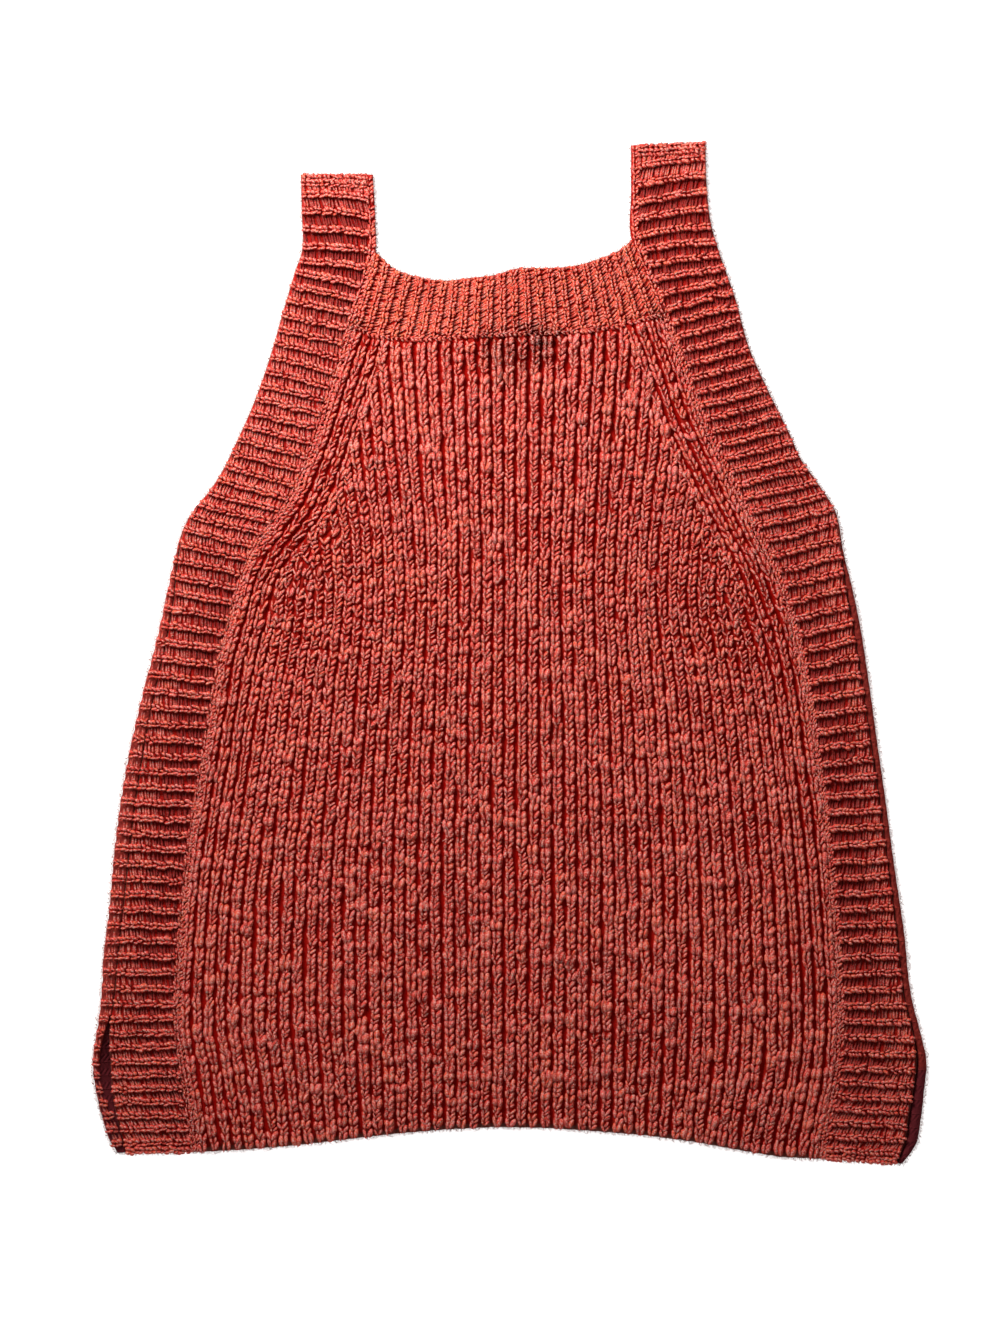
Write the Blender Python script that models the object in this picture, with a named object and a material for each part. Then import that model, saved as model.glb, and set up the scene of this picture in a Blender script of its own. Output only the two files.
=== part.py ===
"""A sleeveless knitted vest lying flat on its back: eight knitted pieces, 0.3 mm apart at their seams.

Metres, +Z up, +Y towards the straps. The origin is under the middle of the garment, on the surface
that it lies on. The tables and sizes below are in millimetres, and MM turns them into metres.
Each piece is a closed wall, flat underneath. The ribs of the front pieces are raised in the wall's
outer points. The back pieces rest on the surface, so they are plain. Down each side the back band
turns up round the edge and ends on top, beside the front band.
"""

import math
from collections import namedtuple

import bmesh
import bpy
import numpy as np
from mathutils import Vector
from mathutils.geometry import delaunay_2d_cdt

MM = 0.001
MIDDLE = Vector((0.0, 0.8, 0.0))  # the middle of the outline, in the tables' own millimetres

# Cloth, in millimetres.
GAP = 0.3  # between two pieces, at a seam or lying one on the other
BACK_WALL = 2.6
FRONT_WALL = 2.2
FRONT_FLOOR = BACK_WALL + GAP
RIM_SHARE = 0.55  # how much of a wall is left at a free edge, where it rounds off
SEAM_SHARE = 0.8  # the same at an edge that is sewn down
RIM_WIDTH = 1.3
TUCK = 1.2  # how far the back's hem and neckline stay inside the front's

# Ribs, in millimetres. One rib is a ridge and the trough beside it.
BAND_RIB_HEIGHT = 1.6
NECK_RIBS = 23
NECK_RIB_HEIGHT = 1.2
COLUMN_HEIGHT = 1.5
COLUMN_RIDGE = 0.6  # the ridge's share of a column
EDGE_COLUMNS = 4  # columns that run with the side seam instead of straight up
SELVEDGE = 3.0  # from a band's inner edge to where its ribs begin

# The turned edge of the back bands, in millimetres.
TURN_HEIGHT = 5.6
TURN_FULL_WIDTH = 3.0  # a turned edge at least this wide has its full height
TURN_RIB = 0.6
TURN_LIFT = 1.0  # how far in from its side the turned edge leaves the surface

RibPoint = namedtuple("RibPoint", "phase height")
RIB_PROFILE = (
    RibPoint(0.05, 1.0),
    RibPoint(0.45, 1.0),
    RibPoint(0.57, 0.0),
    RibPoint(0.93, 0.0),
)

# The side bands' ribs: how far apart they are at distances from the shoulder. The straps are stretched.
Spacing = namedtuple("Spacing", "along pitch")
LEFT_RIBS = 66
LEFT_SPACING = (
    Spacing(0.0, 10.4),
    Spacing(35.0, 10.6),
    Spacing(60.0, 9.0),
    Spacing(180.0, 8.8),
    Spacing(240.0, 9.4),
    Spacing(300.0, 9.8),
    Spacing(400.0, 9.4),
    Spacing(520.0, 9.2),
    Spacing(560.0, 8.2),
)
RIGHT_RIBS = 67
RIGHT_SPACING = (
    Spacing(0.0, 7.6),
    Spacing(15.0, 10.4),
    Spacing(45.0, 10.6),
    Spacing(65.0, 8.8),
    Spacing(205.0, 8.8),
    Spacing(250.0, 9.8),
    Spacing(300.0, 10.3),
    Spacing(400.0, 10.0),
    Spacing(560.0, 9.6),
    Spacing(600.0, 8.3),
)
NECK_SPACING = (Spacing(0.0, 6.9),)

# The panel's columns: how far apart the middle ones are at a height on the garment, and how much
# closer they get towards the sides. They draw in below the armholes and spread again lower down.
Columns = namedtuple("Columns", "y pitch closer")
COLUMNS = (
    Columns(-250.0, 7.15, 0.0),
    Columns(-140.0, 7.4, 0.01),
    Columns(-70.0, 7.25, 0.02),
    Columns(0.0, 6.95, 0.045),
    Columns(40.0, 6.9, 0.065),
    Columns(75.0, 7.0, 0.06),
    Columns(110.0, 7.25, 0.04),
    Columns(180.0, 7.75, 0.03),
)
FULL_REACH = 15  # how many columns from the middle they are closer by the whole share

# The columns along the side seams, and how far apart they are. Low down they are as wide as the rest.
SeamColumns = namedtuple("SeamColumns", "y pitch")
SEAM_COLUMNS = (
    SeamColumns(-200.0, 7.0),
    SeamColumns(-60.0, 6.4),
    SeamColumns(60.0, 6.0),
)

# A side band, shoulder to hem: a row is one rib's line across it, from the garment's outline to the
# seam with the panel. turned is how much of the back band shows on top, and front_in is how far the
# front band's edge lies inside the outline.
Section = namedtuple("Section", "outer_x outer_y inner_x inner_y turned front_in")
LEFT_BAND = (
    Section(-125.0, 287.5, -82.0, 287.5, 0.0, 0.0),
    Section(-124.5, 264.5, -80.5, 260.0, 0.0, 0.0),
    Section(-124.0, 244.0, -80.5, 241.0, 0.0, 0.0),
    Section(-128.5, 229.5, -86.0, 219.5, 0.0, 0.0),
    Section(-135.5, 206.0, -93.5, 196.0, 0.0, 0.0),
    Section(-142.5, 181.5, -101.0, 172.0, 0.0, 0.0),
    Section(-151.5, 155.0, -109.5, 145.5, 0.0, 0.0),
    Section(-163.0, 128.5, -118.5, 117.5, 0.0, 0.0),
    Section(-176.0, 103.5, -130.0, 91.0, 0.0, 0.0),
    Section(-185.0, 91.5, -138.5, 79.5, 0.0, 0.0),
    Section(-193.5, 80.0, -147.5, 68.0, 0.0, 0.0),
    Section(-201.5, 55.0, -158.5, 46.0, 2.4, 2.4),
    Section(-206.5, 31.5, -164.5, 23.5, 4.8, 4.8),
    Section(-212.5, 5.5, -170.5, 1.0, 6.0, 6.0),
    Section(-221.5, -29.5, -176.5, -32.0, 7.2, 7.2),
    Section(-229.0, -63.5, -182.0, -65.5, 8.4, 8.4),
    Section(-236.5, -113.0, -190.0, -115.0, 9.0, 9.0),
    Section(-239.5, -146.5, -194.0, -148.0, 8.4, 8.4),
    Section(-243.5, -183.5, -196.5, -184.0, 8.4, 8.4),
    Section(-245.5, -212.0, -197.5, -212.0, 7.2, 7.2),
    Section(-248.0, -229.0, -197.0, -229.0, 4.8, 8.2),
    Section(-250.0, -243.5, -194.5, -243.5, 4.3, 11.0),
    Section(-247.0, -266.0, -191.0, -266.0, 5.5, 9.6),
    Section(-243.5, -279.5, -189.0, -280.0, 7.8, 8.8),
    Section(-239.5, -291.5, -187.5, -291.0, 7.2, 8.0),
    Section(-235.5, -298.5, -187.0, -298.0, 5.2, 6.0),
)
RIGHT_BAND = (
    Section(117.5, 306.5, 73.0, 305.0, 0.0, 0.0),
    Section(118.0, 283.5, 73.0, 277.5, 0.0, 0.0),
    Section(121.0, 257.0, 73.0, 250.5, 0.0, 0.0),
    Section(125.5, 241.5, 78.5, 234.5, 0.0, 0.0),
    Section(135.5, 212.5, 91.5, 202.5, 0.0, 0.0),
    Section(143.5, 184.0, 102.5, 173.5, 0.0, 0.0),
    Section(155.0, 158.0, 111.5, 146.5, 0.0, 0.0),
    Section(168.5, 130.5, 123.5, 119.5, 0.0, 0.0),
    Section(174.5, 117.0, 129.5, 106.5, 0.0, 0.0),
    Section(183.5, 104.5, 136.0, 93.5, 0.0, 0.0),
    Section(196.5, 82.5, 147.5, 70.5, 0.0, 0.0),
    Section(200.0, 62.5, 156.5, 52.5, 1.2, 1.2),
    Section(205.5, 40.0, 164.5, 31.5, 3.6, 3.6),
    Section(211.0, 13.0, 172.5, 4.5, 4.2, 4.2),
    Section(215.5, -16.5, 178.0, -23.5, 4.2, 4.2),
    Section(221.0, -56.0, 183.0, -60.5, 3.6, 3.6),
    Section(225.5, -87.5, 187.0, -89.5, 3.6, 3.6),
    Section(230.5, -125.0, 191.0, -127.0, 3.6, 3.6),
    Section(236.5, -165.5, 194.0, -166.0, 4.2, 4.2),
    Section(241.5, -207.5, 196.5, -208.5, 4.2, 4.2),
    Section(247.0, -229.0, 196.5, -227.5, 4.2, 4.8),
    Section(250.0, -243.5, 195.5, -242.0, 5.0, 6.2),
    Section(248.5, -262.5, 193.0, -259.5, 5.6, 6.8),
    Section(246.5, -279.5, 189.5, -276.5, 6.4, 7.7),
    Section(243.5, -294.0, 186.5, -290.5, 5.8, 7.0),
    Section(235.5, -305.0, 185.0, -302.0, 3.0, 3.9),
)

# The neckband, left to right: a row is one rib's line, from the free edge down to the panel's seam.
NeckRib = namedtuple("NeckRib", "top_x top_y seam_x seam_y")
NECKBAND = (
    NeckRib(-79.5, 241.5, -92.5, 196.0),
    NeckRib(-70.5, 232.5, -82.0, 190.5),
    NeckRib(-53.5, 226.0, -62.0, 188.0),
    NeckRib(-38.5, 224.0, -44.0, 188.0),
    NeckRib(-24.5, 225.5, -27.5, 189.5),
    NeckRib(-8.5, 227.5, -9.5, 190.5),
    NeckRib(3.0, 231.0, 4.0, 191.0),
    NeckRib(21.5, 231.5, 25.5, 191.5),
    NeckRib(36.5, 232.5, 42.0, 192.5),
    NeckRib(51.5, 236.5, 61.0, 195.0),
    NeckRib(67.5, 244.0, 83.0, 200.5),
    NeckRib(72.5, 248.5, 91.0, 202.5),
)
NECK_END_GAP = 0.6

# The panel's hem, left to right.
HemPoint = namedtuple("HemPoint", "x y")
HEM = (
    HemPoint(-187.0, -298.0),
    HemPoint(-158.5, -296.5),
    HemPoint(-128.5, -294.0),
    HemPoint(-98.5, -290.5),
    HemPoint(-68.5, -287.0),
    HemPoint(-38.5, -284.5),
    HemPoint(-8.5, -283.0),
    HemPoint(21.5, -283.5),
    HemPoint(51.5, -285.5),
    HemPoint(81.5, -288.0),
    HemPoint(111.5, -292.0),
    HemPoint(141.5, -297.5),
    HemPoint(162.5, -301.0),
    HemPoint(185.0, -302.0),
)

# How finely the panel is drawn, in millimetres.
SEAM_STATIONS = 56
NECK_STATIONS = 41
COLUMN_STEP = 48.0
EDGE_LINE_STATIONS = 36
MARCH = 2.0
SHORTEST_COLUMN = 16.0
MERGE = 1e-3
RIB_COUNT_STEPS = 2000

# Colour (linear) and roughness of the dyed cotton.
PANEL_COLOUR = (0.56, 0.082, 0.05, 1.0)
BAND_COLOUR = (0.60, 0.085, 0.05, 1.0)
NECK_COLOUR = (0.66, 0.11, 0.055, 1.0)
BACK_COLOUR = (0.45, 0.055, 0.04, 1.0)
COTTON_ROUGHNESS = 0.9


def clear_scene():
    for obj in list(bpy.data.objects):
        bpy.data.objects.remove(obj)


def cotton(name, colour):
    material = bpy.data.materials.new(name)
    material.use_nodes = True
    shader = material.node_tree.nodes["Principled BSDF"]
    shader.inputs["Base Color"].default_value = colour
    shader.inputs["Roughness"].default_value = COTTON_ROUGHNESS
    shader.inputs["Metallic"].default_value = 0.0
    material.diffuse_color = colour
    return material


def in_metres(point):
    return (Vector(point) - MIDDLE) * MM


def finish_piece(name, built, material):
    """The built walls as one named object, its faces turned outwards."""
    bmesh.ops.remove_doubles(built, verts=built.verts, dist=MERGE * MM)
    bmesh.ops.recalc_face_normals(built, faces=built.faces)
    mesh = bpy.data.meshes.new(name)
    built.to_mesh(mesh)
    built.free()
    mesh.materials.append(material)
    mesh.shade_smooth()
    mesh.set_sharp_from_angle(angle=math.radians(40))
    piece = bpy.data.objects.new(name, mesh)
    bpy.context.scene.collection.objects.link(piece)
    return piece


def smooth_rows(rows, shares):
    """A table's rows read at shares of its length, on a smooth curve through every row."""
    table = np.array(rows, float)
    middle = (table[:, 0:2] + table[:, 2:4]) / 2
    steps = np.linalg.norm(np.diff(middle, axis=0), axis=1)
    along = np.concatenate([[0.0], np.cumsum(steps)])
    slopes = np.gradient(table, along, axis=0)
    place = np.clip(shares, 0, 1) * along[-1]
    before = np.clip(np.searchsorted(along, place, side="right") - 1, 0, len(along) - 2)
    span = along[before + 1] - along[before]
    t = ((place - along[before]) / span)[:, None]
    span = span[:, None]
    return (
        (2 * t**3 - 3 * t**2 + 1) * table[before]
        + (t**3 - 2 * t**2 + t) * span * slopes[before]
        + (3 * t**2 - 2 * t**3) * table[before + 1]
        + (t**3 - t**2) * span * slopes[before + 1]
    )


def table_length(rows):
    table = np.array(rows, float)
    middle = (table[:, 0:2] + table[:, 2:4]) / 2
    return np.linalg.norm(np.diff(middle, axis=0), axis=1).sum()


def sideways(line, distance):
    """A line moved to its own left by a distance, or by one distance for each of its points."""
    along = np.gradient(line, axis=0)
    along /= np.linalg.norm(along, axis=1)[:, None]
    return line + np.reshape(distance, (-1, 1)) * np.stack([-along[:, 1], along[:, 0]], axis=1)


def rib_share(number, ribs, spacing, length):
    """The share of a band's length at which the count of its ribs reaches a number."""
    along = np.linspace(0, length, RIB_COUNT_STEPS)
    pitch = np.interp(along, [row.along for row in spacing], [row.pitch for row in spacing])
    counted = np.concatenate([[0.0], np.cumsum(np.diff(along) / (pitch[1:] + pitch[:-1]))])
    return np.interp(number, counted * ribs / counted[-1], along / length)


def rib_stations(ribs, spacing, length):
    """Shares of a band's length and the rib height there, with its two rounded ends."""
    end = RIM_WIDTH / length
    shares, heights = [0.0, end], [None, 0.0]
    for rib in range(ribs):
        for point in RIB_PROFILE:
            share = rib_share(rib + point.phase, ribs, spacing, length)
            if end * 1.4 < share < 1 - end * 1.4:
                shares.append(share)
                heights.append(point.height)
    return np.array(shares + [1 - end, 1.0]), heights + [0.0, None]


def across(start, finish, distance):
    """The point at a distance from start towards finish."""
    return start + (finish - start) / np.linalg.norm(finish - start) * distance


def loft(name, rings, material):
    """A closed body through rings of points in millimetres, with its two ends filled."""
    built = bmesh.new()
    rows = [[built.verts.new(in_metres(point)) for point in ring] for ring in rings]
    for row, after in zip(rows, rows[1:]):
        for i, vertex in enumerate(row):
            j = (i + 1) % len(row)
            built.faces.new((vertex, row[j], after[j], after[i]))
    built.faces.new(rows[0])
    built.faces.new(reversed(rows[-1]))
    return finish_piece(name, built, material)


def ribbed_ring(free, sewn, floor, rib_height, height):
    """One cross-section of a ribbed strip, from its free edge to its sewn edge."""
    width = np.linalg.norm(sewn - free)
    top = floor + FRONT_WALL + rib_height * (height or 0.0)
    if height is None:
        top = floor + FRONT_WALL * SEAM_SHARE
    points = (
        (0.0, floor),
        (0.0, min(top, floor + FRONT_WALL * RIM_SHARE + rib_height * 0.4 * (height or 0.0))),
        (RIM_WIDTH, top),
        (width - SELVEDGE, top),
        (width, floor + FRONT_WALL * SEAM_SHARE),
        (width, floor),
    )
    return [(*across(free, sewn, distance), z) for distance, z in points]


def front_band(name, rows, ribs, spacing, side, material):
    """A front side band: strap, armhole edge and side in one ribbed strip."""
    shares, heights = rib_stations(ribs, spacing, table_length(rows))
    sections = smooth_rows(rows, shares)
    seam = sideways(sections[:, 2:4], side * GAP / 2)
    rings = []
    for section, inner, height in zip(sections, seam, heights):
        outline = section[0:2]
        turned, front_in = np.clip(section[4:6], 0, None)
        clear = max(front_in, turned + GAP) if turned > MERGE else 0.0
        rings.append(
            ribbed_ring(across(outline, inner, clear), inner, FRONT_FLOOR, BAND_RIB_HEIGHT, height)
        )
    return loft(name, rings, material)


def turned_ring(outline, inner, turned, trough):
    """One cross-section of a back band, with its outer edge turned up on to the top."""
    width = np.linalg.norm(inner - outline)
    share = min(1.0, turned / TURN_FULL_WIDTH)
    top = BACK_WALL + (TURN_HEIGHT - BACK_WALL) * share - TURN_RIB * trough * share
    if turned > MERGE:
        crown, inside, shoulder = turned * 0.45, turned, top
    else:
        crown, inside, shoulder = RIM_WIDTH, RIM_WIDTH, BACK_WALL
    points = (
        (width, 0.0),
        (TURN_LIFT, 0.0),
        (TURN_RIB * 0.6 * trough * share, BACK_WALL * 0.5 + (top - BACK_WALL) * 0.4),
        (crown, top),
        (inside, shoulder),
        (inside, BACK_WALL),
        (width, BACK_WALL),
    )
    return [(*across(outline, inner, distance), z) for distance, z in points]


def back_band(name, rows, ribs, spacing, side, material):
    """A back side band: it lies on the surface, and turns up round the garment's side."""
    between = rib_share(np.arange(2 * ribs) / 2 + 0.25, ribs, spacing, table_length(rows))
    shares = np.concatenate([[0.0], between, [1.0]])
    sections = smooth_rows(rows, shares)
    sections[-1, 1:4:2] += TUCK
    seam = sideways(sections[:, 2:4], side * GAP / 2)
    rings = [
        turned_ring(section[0:2], inner, max(0.0, section[4]), station % 2)
        for station, (section, inner) in enumerate(zip(sections, seam))
    ]
    return loft(name, rings, material)


def neck_sections(shares):
    """The neckband's lines, clear of the side bands at its two ends and of the panel below."""
    sections = smooth_rows(NECKBAND, shares)
    inward = NECK_END_GAP * (1 - 2 * shares)
    sections[:, 0:3:2] += inward[:, None]
    sections[:, 3] += GAP / 2
    return sections


def front_neckband(name, material):
    length = table_length(NECKBAND)
    shares, heights = rib_stations(NECK_RIBS, NECK_SPACING, length)
    rings = [
        ribbed_ring(section[0:2], section[2:4], FRONT_FLOOR, NECK_RIB_HEIGHT, height)
        for section, height in zip(neck_sections(shares), heights)
    ]
    return loft(name, rings, material)


def back_neckband(name, material):
    rings = []
    for section in neck_sections(np.linspace(0, 1, NECK_STATIONS)):
        top, seam = section[0:2] - (0.0, TUCK), section[2:4]
        width = np.linalg.norm(seam - top)
        points = (
            (0.0, RIM_WIDTH),
            (RIM_WIDTH, 0.0),
            (width, 0.0),
            (width, BACK_WALL),
            (RIM_WIDTH, BACK_WALL),
        )
        rings.append([(*across(top, seam, distance), z) for distance, z in points])
    return loft(name, rings, material)


def panel_edges():
    """The panel's side edges, shoulder to hem, half a gap inside the seams."""
    shares = np.linspace(0, 1, 10 * SEAM_STATIONS)
    edges = []
    for rows, side in ((LEFT_BAND, 1), (RIGHT_BAND, -1)):
        seam = smooth_rows(rows, shares)[:, 2:4]
        edges.append(sideways(seam, side * GAP / 2))
    return edges


def neck_line():
    """The panel's top edge, a gap below the neckband."""
    return neck_sections(np.linspace(0, 1, NECK_STATIONS))[:, 2:4] - (0.0, GAP)


def height_at(line, x):
    order = np.argsort(line[:, 0])
    return np.interp(x, line[order, 0], line[order, 1])


def side_at(edge, y):
    return np.interp(-y, -edge[:, 1], edge[:, 0])


def column_x(number, y):
    """Where a column stands at a height on the garment, counted from the middle one."""
    levels = [row.y for row in COLUMNS]
    pitch = np.interp(y, levels, [row.pitch for row in COLUMNS])
    closer = np.interp(y, levels, [row.closer for row in COLUMNS])
    return number * pitch * (1 - closer * abs(number) / FULL_REACH)


def seam_pitch(edge):
    """How far apart the columns along a side seam are, at each of its points."""
    return np.interp(edge[:, 1], [row.y for row in SEAM_COLUMNS], [row.pitch for row in SEAM_COLUMNS])


def straight_columns(left, right, neck, hem):
    """The lines along the ridges and troughs that run straight up the panel."""
    left_stop = sideways(left, (EDGE_COLUMNS + 0.35) * seam_pitch(left))
    right_stop = sideways(right, -(EDGE_COLUMNS + 0.35) * seam_pitch(right))
    levels = np.arange(hem[:, 1].min(), neck[:, 1].max(), MARCH)
    columns = int(right[:, 0].max() / min(row.pitch for row in COLUMNS)) + 1
    lines = []
    for column in range(-columns, columns + 1):
        for offset, height in ((-0.5, 0.0), (-COLUMN_RIDGE / 2, 1.0), (COLUMN_RIDGE / 2, 1.0)):
            x = column_x(column + offset, levels)
            bottom, top = height_at(hem, x), height_at(neck, x)
            inside = (x > side_at(left_stop, levels)) & (x < side_at(right_stop, levels))
            inside &= (levels > bottom + 2 * RIM_WIDTH) & (levels < top - 2 * RIM_WIDTH)
            kept = np.flatnonzero(inside)
            for run in np.split(kept, np.flatnonzero(np.diff(kept) > 1) + 1):
                if len(run) * MARCH < SHORTEST_COLUMN:
                    continue
                low, high = levels[run[0]], levels[run[-1]]
                count = max(2, round((high - low) / COLUMN_STEP) + 1)
                heights = np.linspace(low, high, count)
                line = [(column_x(column + offset, y), y, height) for y in heights]
                if low - bottom[run[0]] < 2 * RIM_WIDTH + 2 * MARCH:
                    line.insert(0, (line[0][0], height_at(hem, line[0][0]), None))
                if top[run[-1]] - high < 2 * RIM_WIDTH + 2 * MARCH:
                    line.append((line[-1][0], height_at(neck, line[-1][0]), None))
                lines.append(line)
    return lines


def edge_columns(left, right, neck, hem):
    """The lines along the ridges and troughs that follow the two side seams."""
    lines = []
    for edge, side in ((left, 1), (right, -1)):
        for column in range(EDGE_COLUMNS):
            for offset, height in ((0.22, 1.0), (0.22 + COLUMN_RIDGE, 1.0), (1.0, 0.0)):
                line = sideways(edge, side * (column + offset) * seam_pitch(edge))
                low, high = height_at(hem, line[:, 0]), height_at(neck, line[:, 0])
                clear = 2 * RIM_WIDTH
                kept = line[(line[:, 1] > low + clear) & (line[:, 1] < high - clear)]
                picked = kept[np.linspace(0, len(kept) - 1, EDGE_LINE_STATIONS).astype(int)]
                top, bottom = picked[0, 0], picked[-1, 0]
                lines.append(
                    [(top, height_at(neck, top), None)]
                    + [(x, y, height) for x, y in picked]
                    + [(bottom, height_at(hem, bottom), None)]
                )
    return lines


def panel_boundary(left, right, neck, hem, lines):
    """The panel's outline, going round from its top left corner, with every line's end on it."""
    sides = []
    for edge in (left, right):
        top = np.flatnonzero(edge[:, 1] < height_at(neck, edge[:, 0]))[0]
        sides.append(edge[np.linspace(top, len(edge) - 1, SEAM_STATIONS).astype(int)])
    left_side, right_side = sides
    ends = [point for line in lines for point in line if point[2] is None]
    middle = (neck[:, 1].mean() + hem[:, 1].mean()) / 2
    top = sorted((x, y) for x, y, _ in ends if y > middle)
    bottom = sorted(((x, y) for x, y, _ in ends if y < middle), reverse=True)
    loop = [tuple(point) for point in left_side[::-1]]
    loop += top
    loop += [tuple(point) for point in right_side]
    loop += bottom
    return loop


def triangles(points, edges):
    """Triangles inside the outline, as places in the list of points."""
    flat = [Vector(point) for point in points]
    _, _, faces, source, _, _ = delaunay_2d_cdt(flat, edges, [], 1, MERGE)
    return [[source[corner][0] for corner in face] for face in faces]


def plate(name, boundary, lines, floor, boundary_top, heights, material):
    """A closed wall inside a boundary: flat underneath, its top raised along the lines."""
    points, tops, edges = [], [], []
    place = {}

    def add(x, y, top):
        key = (round(x, 3), round(y, 3))
        if key not in place:
            place[key] = len(points)
            points.append((x, y))
            tops.append(top)
        return place[key]

    loop = [add(x, y, boundary_top) for x, y in boundary]
    edges += zip(loop, loop[1:] + loop[:1])
    for line in lines:
        ids = [add(x, y, boundary_top if height is None else heights[height]) for x, y, height in line]
        edges += zip(ids, ids[1:])
    built = bmesh.new()
    upper = [built.verts.new(in_metres((x, y, z))) for (x, y), z in zip(points, tops)]
    lower = [built.verts.new(in_metres((*points[i], floor))) for i in loop]
    for face in triangles(points, edges):
        built.faces.new([upper[i] for i in face])
    under = [points[i] for i in loop]
    ring = list(range(len(loop)))
    for face in triangles(under, list(zip(ring, ring[1:] + ring[:1]))):
        built.faces.new([lower[i] for i in reversed(face)])
    for here, after in zip(ring, ring[1:] + ring[:1]):
        built.faces.new((upper[loop[here]], lower[here], lower[after], upper[loop[after]]))
    return finish_piece(name, built, material)


def front_panel(name, material):
    left, right = panel_edges()
    neck, hem = neck_line(), np.array(HEM)
    lines = straight_columns(left, right, neck, hem) + edge_columns(left, right, neck, hem)
    boundary = panel_boundary(left, right, neck, hem, lines)
    trough = FRONT_FLOOR + FRONT_WALL
    heights = {0.0: trough, 1.0: trough + COLUMN_HEIGHT}
    return plate(name, boundary, lines, FRONT_FLOOR, trough, heights, material)


def back_panel(name, material):
    left, right = panel_edges()
    neck, hem = neck_line(), np.array(HEM) + (0.0, TUCK)
    corners = [[(x, y, None)] for x, y in np.vstack([neck[1:-1], hem[1:-1]])]
    boundary = panel_boundary(left, right, neck, hem, corners)
    return plate(name, boundary, [], 0.0, BACK_WALL, {}, material)


def main():
    clear_scene()
    panel_cotton = cotton("panel_cotton", PANEL_COLOUR)
    band_cotton = cotton("band_cotton", BAND_COLOUR)
    neck_cotton = cotton("neck_cotton", NECK_COLOUR)
    back_cotton = cotton("back_cotton", BACK_COLOUR)
    front_panel("front_panel", panel_cotton)
    front_neckband("front_neckband", neck_cotton)
    front_band("front_band_left", LEFT_BAND, LEFT_RIBS, LEFT_SPACING, -1, band_cotton)
    front_band("front_band_right", RIGHT_BAND, RIGHT_RIBS, RIGHT_SPACING, 1, band_cotton)
    back_panel("back_panel", back_cotton)
    back_neckband("back_neckband", back_cotton)
    back_band("back_band_left", LEFT_BAND, LEFT_RIBS, LEFT_SPACING, -1, back_cotton)
    back_band("back_band_right", RIGHT_BAND, RIGHT_RIBS, RIGHT_SPACING, 1, back_cotton)


main()
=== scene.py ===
# %% [markdown]
# # A chunky knitted vest, laid flat
#
# The vest is hand-knit cotton: a front and a back panel in wide rib, long ribbed bands that make the
# straps, the armhole edges and the sides in one, and a finer ribbed neckband. It lies on its back. The
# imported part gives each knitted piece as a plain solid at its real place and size. This script dresses
# each one: a thin ribbed cloth in the solid's form, and on it the stitches, each leg of each stitch a
# short curved length of yarn. Yarn as real shapes, not as a bump, is what gives a chunky knit its deep
# gaps and its uneven light from every side.

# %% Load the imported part
import math
from collections import namedtuple

import bpy
import numpy as np
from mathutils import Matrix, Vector


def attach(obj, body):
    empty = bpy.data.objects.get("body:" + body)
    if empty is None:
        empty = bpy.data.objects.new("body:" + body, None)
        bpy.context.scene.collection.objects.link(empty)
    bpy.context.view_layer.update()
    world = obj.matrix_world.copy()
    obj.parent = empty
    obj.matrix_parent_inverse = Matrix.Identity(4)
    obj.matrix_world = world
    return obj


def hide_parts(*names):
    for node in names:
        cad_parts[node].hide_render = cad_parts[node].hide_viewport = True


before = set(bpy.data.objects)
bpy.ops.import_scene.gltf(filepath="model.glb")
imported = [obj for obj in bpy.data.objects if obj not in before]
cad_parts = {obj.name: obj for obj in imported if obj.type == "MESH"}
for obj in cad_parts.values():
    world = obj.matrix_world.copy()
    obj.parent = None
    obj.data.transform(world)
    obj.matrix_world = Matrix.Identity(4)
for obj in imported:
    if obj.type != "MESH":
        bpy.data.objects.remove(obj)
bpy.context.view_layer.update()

# %% [markdown]
# ## The cut
#
# All sizes are in millimetres, with the straps towards +Y and the front up. A band is a table of lines
# across it, from the garment's outline to the seam with the panel, and the neckband a table of lines
# from its free edge down to its seam. A smooth curve goes through every row, so few rows are enough.

# %% Walls and seams
MM = 0.001
MIDDLE_Y = 0.8  # the middle of the outline, in the tables' own millimetres
GAP = 0.3  # between two pieces, at a seam or lying one on the other
BACK_WALL = 2.6
FRONT_FLOOR = BACK_WALL + GAP  # where the front's underside lies
TUCK = 1.2  # how far the back's hem and neck edge lie inside the front's
SEW_IN = 0.1  # how far two sewn edges of the dressed cloth pass each other

print("the front lies", round(FRONT_FLOOR, 1), "mm above the floor")

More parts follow.
